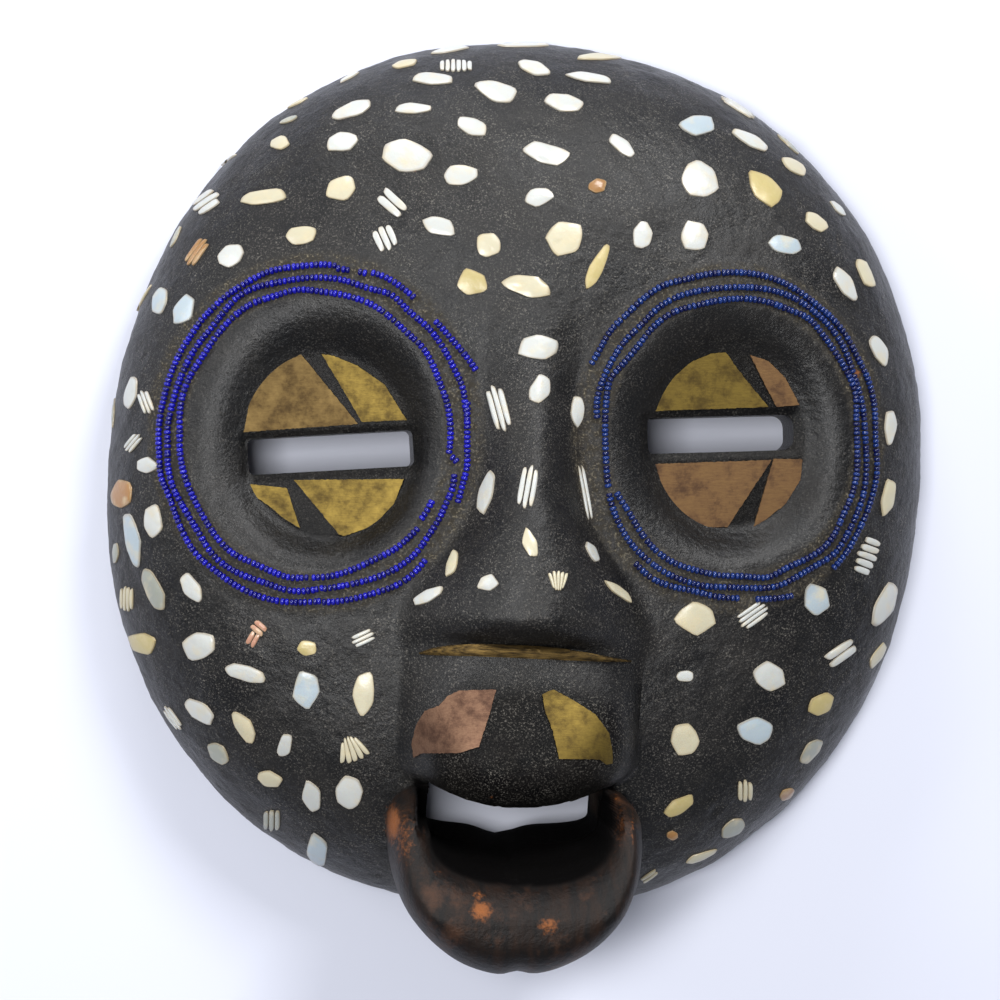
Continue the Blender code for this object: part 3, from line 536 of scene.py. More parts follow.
# Where each kind of surface begins and how softly: a place, then the run over which it comes in, or fades
# out where the run is below zero. Both are in metres, or in shares of an outline.
regionEdges = {
    "belowFront": (-0.0030, 0.0020), "aboveFront": (0.0030, -0.0020), "rim": (1.02, -0.02),
    "trough": (-0.05, 0.10), "underLip": (0.0004, -0.0008), "passage": (-0.10, 0.05),
    "passageTop": (0.060, -0.004), "passageEnd": (-0.108, -0.001),
    "armTop": (-0.005, -0.006), "armEnd": (-0.103, -0.002), "armInside": (0.0360, -0.002),
    "armStart": (-0.003, 0.002), "inside": (0.042, -0.004), "insideRim": (0.925, -0.03),
    "jawOutline": (1.01, -0.03), "chin": (-0.126, -0.002), "jawSides": (0.0015, -0.002),
    "jawBack": (-0.1035, -0.003), "jawLip": (0.0012, -0.0016), "jawFoot": (0.012, 0.01),
    "jawAbove": (0.0004, 0.0010), "pasteStart": (0.955, 0.03), "pasteEnd": (1.285, -0.05),
    "socket": (0.97, -0.04), "slitWall": (0.0012, -0.0006), "bed": (1.20, -0.12),
    "socketFloor": (1.08, -0.12), "muzzleFront": (0.012, 0.006), "wornFoot": (0.035, 0.01),
}
plateBeds = {"left": (453, 722, 64, 50), "right": (578, 728, 58, 54)}  # the muzzle's plates, in pixels
wornSpots = {  # bare and rubbed places of the jaw, a few also a painted highlight on its rim's edges: x and y in the photograph's pixels, half sizes, strength
    # innerEdge, streak and rightRimStrip are light strips on the rim's edges: rubbed wood and painted
    # highlight in one
    "leftArm": (393, 824, 10, 26, 1.0), "innerEdge": (424, 812, 3, 30, 0.85),
    "leftSide": (404, 838, 18, 44, 0.62), "rightSide": (618, 822, 14, 40, 0.58),
    "rightArm": (633, 826, 2.4, 34, 0.7), "chinLeft": (481, 911, 15, 14, 0.95),
    "chinRight": (549, 926, 14, 12, 0.85), "upper": (478, 896, 8, 8, 0.8),
    "streak": (438, 872, 11, 11, 0.5), "rightRimStrip": (600, 872, 8, 12, 0.38), "low": (492, 944, 7, 6, 0.42),
    "lip": (492, 797, 3.5, 3, 0.8), "farRight": (617, 797, 3, 7, 0.8), "nearRight": (585, 905, 7, 7, 0.35),
    "eyeEdge": (857, 373, 4.5, 6, 0.9),
}


def within(value, name):
    place, run = regionEdges[name]
    return smoothStep((value - place) / run)


def mouthShadeRegion(x, y, z):
    # the painted shade inside the mouth, near black: the trough, the way through to the back, and the arms'
    # inner walls
    margin, power = 0.0012, 2.4
    across = np.abs(x - jaw["hollowX"]) / (jaw["hollowHalfWidth"] + margin)
    down = np.clip(jaw["hollowSide"] - y, 0.0, None) / (jaw["hollowSide"] - jaw["lipFront"] + margin)
    trough = 1.0 - (across ** power + down ** power) ** (1.0 / power)
    underLip = within(y - muzzleBottom(x), "underLip")
    passage = within(trough, "passage") * within(z, "passageTop") * within(y, "passageEnd")
    walls = within(z - jawTop(y), "armTop") * within(y, "armEnd")
    walls = walls * within(np.abs(x - jaw["hollowX"]), "armInside")
    walls = walls * within(y - jaw["lipFront"], "armStart") * underLip
    return np.max([within(trough, "trough") * underLip, passage, walls], axis=0)


def jawRegion(x, y, z, off):
    # the stained wood of the jaw, where it stands above the face
    margin = 0.003
    share = np.hypot((x - jaw["x"]) / (jaw["halfWidth"] + margin), (y - jaw["y"]) / (jaw["reach"] + margin))
    beside = within(np.abs(x - jaw["x"]) - jaw["halfWidth"], "jawSides")
    onJaw = np.maximum(within(share, "jawOutline") * within(y, "chin"), beside * within(y, "jawBack"))
    return onJaw * within(y - muzzleBottom(x), "jawLip") * within(z, "jawFoot") * within(off, "jawAbove")


def skinRegions(skin):
    # each kind of surface from 0 to 1, worked out from where a point lies
    x, y, z = skin.T
    off, share = z - faceHeight(x, y), outlineShare(x, y)
    front = within(off, "belowFront") * within(off, "aboveFront") * within(share, "rim")
    mouthShade = mouthShadeRegion(x, y, z)
    back = within(z, "inside") * within(share, "insideRim") * (1.0 - front) * (1.0 - mouthShade)
    onJaw = jawRegion(x, y, z, off) * (1.0 - back)
    paste, socket, bed, dull = np.zeros((4, len(skin)))
    for eye in eyes.values():
        ringShare = ellipseShare(x, y, eye["ring"], eye["ringSize"])
        paste = np.maximum(paste, within(ringShare, "pasteStart") * within(ringShare, "pasteEnd"))
        socket = np.maximum(socket, within(ringShare, "socket"))
        along, across = slitFrame(eye, x, y)
        pastEnd = np.abs(along) - 0.5 * eye["slitLength"]
        fromSlit = np.maximum(pastEnd, np.abs(across) - 0.5 * slit["height"])
        back *= 1.0 - within(fromSlit, "slitWall")
        floorShare = ellipseShare(x, y, eye["floor"], eye["floorSize"])
        bed = np.maximum(bed, within(floorShare, "bed"))
        dull = np.maximum(dull, 0.85 * within(floorShare, "socketFloor"))
    seenX, seenY = seenAt(skin + (0.0, middleY, 0.0))
    for px, py, sizeX, sizeY in plateBeds.values():
        bed = np.maximum(bed, smoothStep(2.0 * bump(seenX, seenY, px, py, sizeX, sizeY)))
    worn = np.zeros(len(skin))
    for px, py, sizeX, sizeY, strength in wornSpots.values():
        worn = np.maximum(worn, strength * bump(seenX, seenY, px, py, sizeX, sizeY))
    dull = np.max([dull, within(muzzleRise(x, y), "muzzleFront") * front, mouthShade, 0.45 * onJaw], axis=0)
    return {"paste": paste * front, "back": back, "onJaw": onJaw, "mouthShade": mouthShade,
            "worn": worn * within(z, "wornFoot"), "socket": socket, "dull": dull, "front": front,
            "bed": bed}


relief = {  # the unevenness of each kind of surface: its size, its height and the noise's seed
    "carving": (0.026, 0.0011, 1.0), "cuts": (0.008, 0.00040, 2.0), "grain": (0.0026, 0.00024, 3.0),
    "jaw": (0.018, 0.0006, 4.0), "pits": (0.0030, 0.00030, 5.0), "pitPatches": (0.020, 1.0, 6.0),
    "paste": (0.0040, 0.00035, 7.0), "gouges": (0.014, 0.0016, 8.0),
    "foot": 0.004,  # the height above the back rim over which it all comes in
}


def uneven(skin, name, layers=2):
    size, height, seed = relief[name]
    return height * layeredNoise(skin, size, seed, layers)


def reliefHeights(skin, region):
    # carved unevenness, pits in the paint, lumps of paste and gouge marks behind, as heights along the
    # normals; the plates' beds stay flat and the rim stays on its plane
    pitSize, pitDepth, pitSeed = relief["pits"]
    patchSize, patchShare, patchSeed = relief["pitPatches"]
    pits = -pitDepth * smoothStep((noise(skin, pitSize, pitSeed) - 0.80) / 0.12)
    pits *= patchShare * smoothStep((noise(skin, patchSize, patchSeed) - 0.40) / 0.2)
    carving = (uneven(skin, "carving", 3) + uneven(skin, "cuts", 3)) * (1.0 - 0.7 * region["socket"])
    fine = (pits + uneven(skin, "grain")) * (1.0 - 0.75 * np.maximum(region["socket"], region["onJaw"]))
    height = region["front"] * (carving + fine)
    height += region["back"] * uneven(skin * (1.0, 2.2, 1.0), "gouges")
    height += region["onJaw"] * uneven(skin, "jaw")
    height *= 1.0 - 0.93 * region["bed"]
    height += region["paste"] * (0.7 * relief["paste"][1] + uneven(skin, "paste"))
    return height * smoothStep(skin[:, 2] / relief["foot"])


def carveSkin(mask):
    # the relief is cut, the face is moved to its place, and the regions are stored for the paint
    skin = pointsOf(mask)
    region = skinRegions(skin)
    skin = skin + normalsOf(mask) * reliefHeights(skin, region)[:, None]
    skin[:, 1] += middleY
    mask.data.vertices.foreach_set("co", skin.ravel())
    mask.data.update()
    for name in ("paste", "back", "onJaw", "mouthShade", "worn", "socket", "dull"):
        storeValue(mask, name, region[name])
    mask.data.shade_smooth()
    mask.data.set_sharp_from_angle(angle=math.radians(38.0))
    return BVHTree.FromPolygons(skin.tolist(), [tuple(p.vertices) for p in mask.data.polygons])


surface = carveSkin(mask)
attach(mask, "root")
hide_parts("mask")
print("mask relief done")


def castOnSkin(px, py):
    # where a pixel of the photograph falls on the skin
    spot = surface.ray_cast(Vector(eyePoint), Vector(sightLine(px, py)))[0]
    return None if spot is None else np.array(spot)


def smoothNormal(x, y):
    # the carving's own direction at a place of the face, from small steps across it
    step = 0.0008
    dx = (faceHeight(x + step, y) - faceHeight(x - step, y)) / (2 * step)
    dy = (faceHeight(x, y + step) - faceHeight(x, y - step)) / (2 * step)
    direction = np.stack([-dx, -dy, np.ones_like(dx)], axis=-1)
    return direction / np.linalg.norm(direction, axis=-1, keepdims=True)


def dropOnSkin(points):
    # each point moved straight down or up onto the skin
    landed = points.copy()
    for k, (x, y, z) in enumerate(points):
        spot = surface.ray_cast(Vector((x, y, 0.2)), Vector((0.0, 0.0, -1.0)))[0]
        landed[k, 2] = z if spot is None else spot.z
    return landed


bead = {"pitch": 0.00160, "length": 0.00138, "radius": 0.00120, "sides": 9, "sunk": 0.00045,
        "jitter": 0.00010, "probe": 0.001, "tilt": 0.06, "sizes": (0.92, 1.06),
        "ends": (-0.5, -0.44, -0.24, 0.24, 0.44, 0.5), "wide": (0.45, 0.78, 1.0, 1.0, 0.78, 0.45)}
# The rows of each eye as runs of points in the photograph's pixels; a row with lost beads is several runs
beadRows = {
    "left": [
        [(335, 266), (328, 265), (310, 266), (290, 268), (270, 272), (255, 279), (240, 288), (225, 298),
         (215, 308), (203, 320), (193, 335), (183, 350), (176, 365), (170, 380), (165, 400), (161, 420),
         (160, 440), (161, 460), (163, 480), (168, 490), (182, 528), (197, 554), (213, 568), (233, 583),
         (254, 594), (280, 601), (305, 602), (320, 601)],
        [(413, 297), (405, 290), (395, 283), (385, 277), (372, 273)],
        [(348, 270.5), (338, 269)],
        [(365, 273.5), (358, 272)],
        [(456, 461), (452, 457)],
        [(324, 602), (340, 601), (356, 598), (377, 592), (397, 585), (413, 574), (426, 559)],
        [(433, 319), (452, 340), (475, 369)],
        [(458, 501), (463, 482), (467, 467), (467, 451), (467, 425), (467, 400)],
        [(467, 420), (465, 405), (463, 389), (455, 371), (446, 353), (431, 331), (405, 308), (395, 297),
         (369, 289), (341, 280), (318, 278), (295, 280), (279, 283), (254, 289), (238, 298), (223, 315),
         (213, 328), (197, 348), (185, 371), (177, 392), (172, 412), (169, 426), (169, 445), (169, 464),
         (174, 487), (185, 508), (200, 533), (213, 554), (228, 567), (246, 576), (267, 583), (287, 590),
         (305, 591), (322, 588)],
        [(325, 588.5), (340, 586), (356, 583), (377, 577), (395, 569), (413, 556), (428, 536),
         (441, 515), (446, 503), (453, 487), (454, 474)],
        [(449, 452), (446, 400), (440, 384), (433, 366), (423, 348), (408, 334), (392, 319), (372, 305),
         (346, 296), (320, 292), (300, 290), (274, 297), (251, 305), (236, 316), (220, 333), (203, 358),
         (190, 379), (183, 399), (181, 413), (181, 430), (181, 451), (185, 474), (194, 497), (205, 518),
         (218, 538), (233, 553), (254, 563), (274, 572), (287, 577), (310, 577)],
        [(314, 577.5), (331, 576), (356, 568), (377, 558), (395, 549), (408, 538), (419, 527)],
        [(422, 518), (433, 499)],
    ],
    "right": [
        [(590, 366), (599, 351), (610, 331), (626, 315), (644, 298), (664, 285), (685, 280), (705, 275),
         (726, 273), (751, 274), (772, 279), (795, 290), (815, 305), (833, 321), (846, 338), (856, 358),
         (866, 378), (872, 400), (874, 440), (875, 477), (868, 505), (856, 533), (844, 554), (833, 567)],
        [(636, 564), (651, 578), (674, 587), (695, 591), (713, 596), (738, 598)],
        [(757, 599), (768, 598.6), (779, 597.8), (793, 595)],
        [(597, 420), (597, 399), (601, 384), (610, 364), (623, 343), (641, 325), (659, 307), (680, 296),
         (700, 291), (726, 288), (751, 288), (772, 291), (792, 298), (813, 312), (831, 330), (844, 351),
         (851, 371), (860, 400), (864, 440), (864, 482), (862, 495), (855, 515), (845, 536), (833, 554),
         (815, 565), (795, 577), (777, 586), (756, 588), (731, 587), (705, 586), (685, 581), (664, 572),
         (646, 559), (631, 544), (617, 520), (609, 495)],
        [(608, 487), (606, 464), (605, 438), (605, 420), (606, 402), (610, 379), (623, 364), (638, 346),
         (654, 326), (674, 312), (695, 306), (718, 301), (744, 299), (769, 303), (790, 311), (808, 319),
         (820, 333), (833, 351), (844, 369), (854, 392), (855, 420), (856, 450), (855, 477), (850, 497),
         (841, 517), (833, 535), (820, 550), (803, 560), (785, 568), (769, 577), (744, 576), (718, 575),
         (695, 570), (674, 563), (656, 551), (641, 533), (628, 511), (617, 494)],
    ],
}
beadMiddles = {"left": (316.0, 434.0), "right": (733.0, 437.0)}  # the rings' middles, in pixels


def rowPath(knots, middle):
    # a smooth run through the knots: angle and radius round the ring's middle, joined by a cubic and
    # evenly spaced
    knots = np.array(knots, dtype=float)
    angle = np.unwrap(np.arctan2(middle[1] - knots[:, 1], knots[:, 0] - middle[0]))
    radius = np.hypot(knots[:, 0] - middle[0], knots[:, 1] - middle[1])
    order = np.argsort(angle)
    angle, radius = angle[order], radius[order]
    slope = np.gradient(radius, angle)
    fine = np.linspace(angle[0], angle[-1], max(8, int(abs(angle[-1] - angle[0]) * 110)))
    k = np.clip(np.searchsorted(angle, fine) - 1, 0, len(angle) - 2)
    gap = angle[k + 1] - angle[k]
    t = (fine - angle[k]) / gap
    r = ((2 * t ** 3 - 3 * t ** 2 + 1) * radius[k] + (t ** 3 - 2 * t ** 2 + t) * gap * slope[k]
         + (-2 * t ** 3 + 3 * t ** 2) * radius[k + 1] + (t ** 3 - t ** 2) * gap * slope[k + 1])
    width = min(9, len(r) - 2)
    kernel = np.hanning(2 * width + 3)[1:-1]
    before, after = 2 * r[0] - r[width:0:-1], 2 * r[-1] - r[-2:-width - 2:-1]
    r = np.convolve(np.concatenate([before, r, after]), kernel / kernel.sum(), mode="valid")
    return middle[0] + r * np.cos(fine), middle[1] - r * np.sin(fine)


def makeBeads(side):
    rng = np.random.default_rng(11 if side == "left" else 12)
    centres, alongs, outs = [], [], []
    for knots in beadRows[side]:
        px, py = rowPath(knots, beadMiddles[side])
        spots = [castOnSkin(a, b) for a, b in zip(px, py)]
        path = np.array([s for s in spots if s is not None])
        length = np.concatenate([[0.0], np.cumsum(np.linalg.norm(np.diff(path, axis=0), axis=1))])
        stops = np.arange(0.0, length[-1], bead["pitch"])
        stops = stops + rng.normal(0.0, bead["jitter"], len(stops))
        centre = np.stack([np.interp(stops, length, path[:, k]) for k in range(3)], axis=-1)
        ahead = np.stack([np.interp(stops + bead["probe"], length, path[:, k]) for k in range(3)], axis=-1)
        behind = np.stack([np.interp(stops - bead["probe"], length, path[:, k]) for k in range(3)], axis=-1)
        out = smoothNormal(centre[:, 0], centre[:, 1] - middleY)
        along = ahead - behind
        along -= out * np.sum(along * out, axis=1)[:, None]
        along /= np.linalg.norm(along, axis=1)[:, None]
        centres.append(centre + out * (bead["radius"] - bead["sunk"]))
        alongs.append(along)
        outs.append(out)
    centre, along, out = (np.concatenate(part) for part in (centres, alongs, outs))
    along += rng.normal(0.0, bead["tilt"], along.shape)
    along /= np.linalg.norm(along, axis=1)[:, None]
    aside = np.cross(along, out)
    aside /= np.linalg.norm(aside, axis=1)[:, None]
    up = np.cross(aside, along)
    # a barrel: rings of points along the bead's axis, fullest in its middle, drawn in at both ends
    turn = np.linspace(0.0, 2.0 * math.pi, bead["sides"], endpoint=False)
    ends, wide = np.array(bead["ends"]), np.array(bead["wide"])
    size = rng.uniform(*bead["sizes"], len(centre))
    ring = wide[None, :, None, None] * bead["radius"] * size[:, None, None, None] * (
        np.cos(turn)[None, None, :, None] * aside[:, None, None, :]
        + np.sin(turn)[None, None, :, None] * up[:, None, None, :])
    reach = ends[None, :, None, None] * bead["length"] * along[:, None, None, :]
    verts = centre[:, None, None, :] + ring + reach
    count, levels, sides = verts.shape[:3]
    one = np.array(gridFaces(levels, sides, loopColumns=True))
    quads = (one[None] + (np.arange(count) * levels * sides)[:, None, None]).reshape(-1, 4).tolist()
    caps = []
    for start, turnBack in ((0, -1), ((levels - 1) * sides, 1)):
        cap = start + np.arange(sides)[::turnBack]
        caps += (cap[None] + (np.arange(count) * levels * sides)[:, None]).tolist()
    nodes = [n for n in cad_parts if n.startswith("bead_" + side)]
    piece = makePiece("beads_" + side, verts.reshape(-1, 3), quads + caps, "beads", nodes)
    faceOut(piece)
    tone = rng.uniform(0.0, 1.0, count)
    storeValue(piece, "tone", np.repeat(tone, levels * sides))
    piece.data.shade_smooth()
    print("beads,", side, "eye:", count)
    return piece


beadPieces = {side: makeBeads(side) for side in ("left", "right")}


plate = {"step": 0.7, "ragged": 0.07, "steps": (0.0, 0.2, 0.4, 0.6, 0.8, 0.93, 1.0), "thickness": 0.0008,
         "lift": 0.0007, "wave": 0.0002, "waveSize": 0.018, "sunk": 0.0002, "turnDown": 0.00015,
         "rim": 0.02, "sharp": 50.0, "pixel": 0.356, "seed": 40}  # step, ragged and pixel in millimetres
slots = {"brass": "brass", "bronze": "copper", "copper": "copper", "pale": "copper"}
# Each plate under the name of the solid it stands for: its metal and its outline in the photograph's pixels
plates = {
    "left_plate_1": ("bronze", [(301, 354), (358, 424), (244, 432), (249, 405), (256, 385),
                                (276, 366), (295, 357.5)]),
    "left_plate_2": ("brass", [(322, 354), (334, 356), (358, 366), (385, 385), (397, 405), (407, 420),
                               (362, 422)]),
    "left_plate_3": ("brass", [(248, 484), (287, 488), (300, 528), (285, 519), (268, 505), (256, 497)]),
    "left_plate_4": ("brass", [(294, 480), (404, 479), (394, 504), (373, 526), (344, 536), (339, 534)]),
    "right_plate_1": ("brass", [(654, 411), (657, 400), (669, 381), (691, 362), (710, 354),
                                (725, 352), (744, 378), (768, 407)]),
    "right_plate_2": ("copper", [(750, 355), (768, 361), (785, 378), (799, 405), (776, 407),
                                 (754, 364)]),
    "right_plate_3": ("copper", [(655, 464), (771, 460), (727, 527), (705, 527), (681, 516),
                                 (664, 492)]),
    "right_plate_4": ("copper", [(773, 459), (802, 459), (800, 480), (785, 504), (766, 519),
                                 (753, 527)]),
    "muzzle_plate_left": ("pale", [(496, 690), (459, 691), (449, 696), (440, 706), (426, 711),
                                   (417, 726), (413, 744), (415, 757), (423, 753), (459, 753),
                                   (479, 747), (490, 713)]),
    "muzzle_plate_right": ("brass", [(542, 695), (553, 690), (572, 700), (595, 715), (608, 733),
                                     (611, 751), (611, 763), (605, 764), (599, 759), (582, 759),
                                     (559, 759), (553, 733), (544, 708)]),
}
strip = {
    "lift": 0.0012, "arch": 0.0005, "points": 90, "rows": 5,
    "top": [(419, 652.5), (432, 648), (450, 645), (475, 643.8), (500, 644.5), (530, 645.5),
            (560, 648), (590, 653), (615, 658), (631, 660.5)],
    "low": [(419, 654), (432, 655), (450, 655.5), (475, 656), (500, 657), (530, 658.5), (560, 660),
            (590, 661), (615, 662), (631, 662)],
}


def hardEdge(corners, step, ragged, rng):
    # a cut outline: straight runs between the corners, each a little uneven
    corners = np.array(corners, dtype=float)
    nextOnes = np.roll(corners, -1, axis=0)
    runs = []
    for a, b in zip(corners, nextOnes):
        count = max(2, int(np.linalg.norm(b - a) * plate["pixel"] / step))
        runs.append(a + (b - a) * np.linspace(0.0, 1.0, count, endpoint=False)[:, None])
    edge = np.concatenate(runs)
    return edge + rng.normal(0.0, ragged / plate["pixel"], edge.shape)


def makePlate(name, metal, corners, seed):
    # rings of points from the plate's middle to its cut edge, laid on the skin, with a turned-down edge
    rng = np.random.default_rng(seed)
    edge = hardEdge(corners, plate["step"], plate["ragged"], rng)
    middle = edge.mean(axis=0)
    flat = middle + (edge - middle)[None] * np.array(plate["steps"])[:, None, None]
    spots = np.array([castOnSkin(a, b) for a, b in flat.reshape(-1, 2)])
    out = smoothNormal(spots[:, 0], spots[:, 1] - middleY)
    if "muzzle" in name:
        spots[:, 2] = faceHeight(spots[:, 0], spots[:, 1] - middleY)
    else:
        eye = eyes[name.split("_")[0]]
        spots[:, 2] = floorHeight(eye, spots[:, 0]) - face["plateBed"]
        out = np.tile(np.array([-eye["slope"], 0.0, 1.0]) / math.hypot(1.0, eye["slope"]), (len(spots), 1))
    wave = layeredNoise(spots, plate["waveSize"], seed, 1) * plate["wave"]
    lifted = spots + out * (plate["lift"] + wave)[:, None]
    levels, count = len(plate["steps"]), len(edge)
    top = lifted.reshape(levels, count, 3)
    outEdge = out.reshape(levels, count, 3)[-1]
    low = top[-1] - outEdge * (plate["thickness"] + plate["sunk"])
    rim = top[-1] - outEdge * plate["turnDown"] + (top[-1] - top[-2]) * plate["rim"]
    verts = np.concatenate([top[0, :1], top[1:].reshape(-1, 3), rim, low, low.mean(axis=0)[None]])
    faces = [(0, 1 + k, 1 + (k + 1) % count) for k in range(count)]
    faces += (np.array(gridFaces(levels + 1, count, loopColumns=True)) + 1).tolist()
    last = 1 + levels * count
    faces += [(last + count, last + (k + 1) % count, last + k) for k in range(count)]
    piece = makePiece("sheet_" + name, verts, faces, slots[metal], [name])
    faceOut(piece)
    piece.data.shade_smooth()
    piece.data.set_sharp_from_angle(angle=math.radians(plate["sharp"]))
    return piece


def makeStrip():
    # a thin strip between its upper and lower edges, arched a little across
    upper, lower = np.array(strip["top"], dtype=float), np.array(strip["low"], dtype=float)
    place = np.linspace(0.0, len(upper) - 1.0, strip["points"])
    rows = []
    for share in np.linspace(0.0, 1.0, strip["rows"]):
        knots = upper + (lower - upper) * share
        px = np.interp(place, np.arange(len(knots)), knots[:, 0])
        py = np.interp(place, np.arange(len(knots)), knots[:, 1])
        spots = np.array([castOnSkin(a, b) for a, b in zip(px, py)])
        rows.append(spots + (0.0, 0.0, strip["lift"] + strip["arch"] * math.sin(math.pi * share)))
    top = np.array(rows)
    loop = np.concatenate([top, (top[[0, -1]] - (0.0, 0.0, strip["lift"]))[::-1]])
    verts = np.swapaxes(loop, 0, 1)
    levels, count = verts.shape[:2]
    faces = gridFaces(levels, count, loopColumns=True)
    faces += [list(range(count)), list(range((levels - 1) * count, levels * count))]
    piece = makePiece("sheet_nose_strip", verts.reshape(-1, 3), faces, "brass", ["nose_strip"])
    faceOut(piece)
    piece.data.shade_smooth()
    piece.data.set_sharp_from_angle(angle=math.radians(plate["sharp"]))
    return piece


platePieces = {name: (metal, makePlate(name, metal, corners, plate["seed"] + k))
               for k, (name, (metal, corners)) in enumerate(plates.items())}
platePieces["nose_strip"] = ("strip", makeStrip())
print("sheet metal done")


shell = {
    "lift": 0.00045, "thickness": 0.0011, "crown": 0.00035, "crownPower": 2.5, "most": 0.0105,
    "longer": 2.2, "sides": 26, "rings": 5, "firstRing": 0.45, "turnDown": 0.0004, "rim": 0.03,
    "lowest": 0.0002,
    "waves": ((2, 0.07), (3, 0.06), (5, 0.03), (9, 0.015)),  # how many round the outline, and how high
    "corners": (5, 8), "cornerShift": 0.3, "cornerReach": (0.80, 1.03), "leastFacing": 0.15,
    "mostReach": 1.22, "straight": 0.7, "rib": 0.84, "square": 0.62, "fan": 0.30, "fanFrom": 4,
    "fanMiddle": 0.4, "ribLength": 0.96, "shortest": 0.20, "shorter": 0.65, "tones": 0.03, "sharp": 50.0,
    "seed": 7,
}
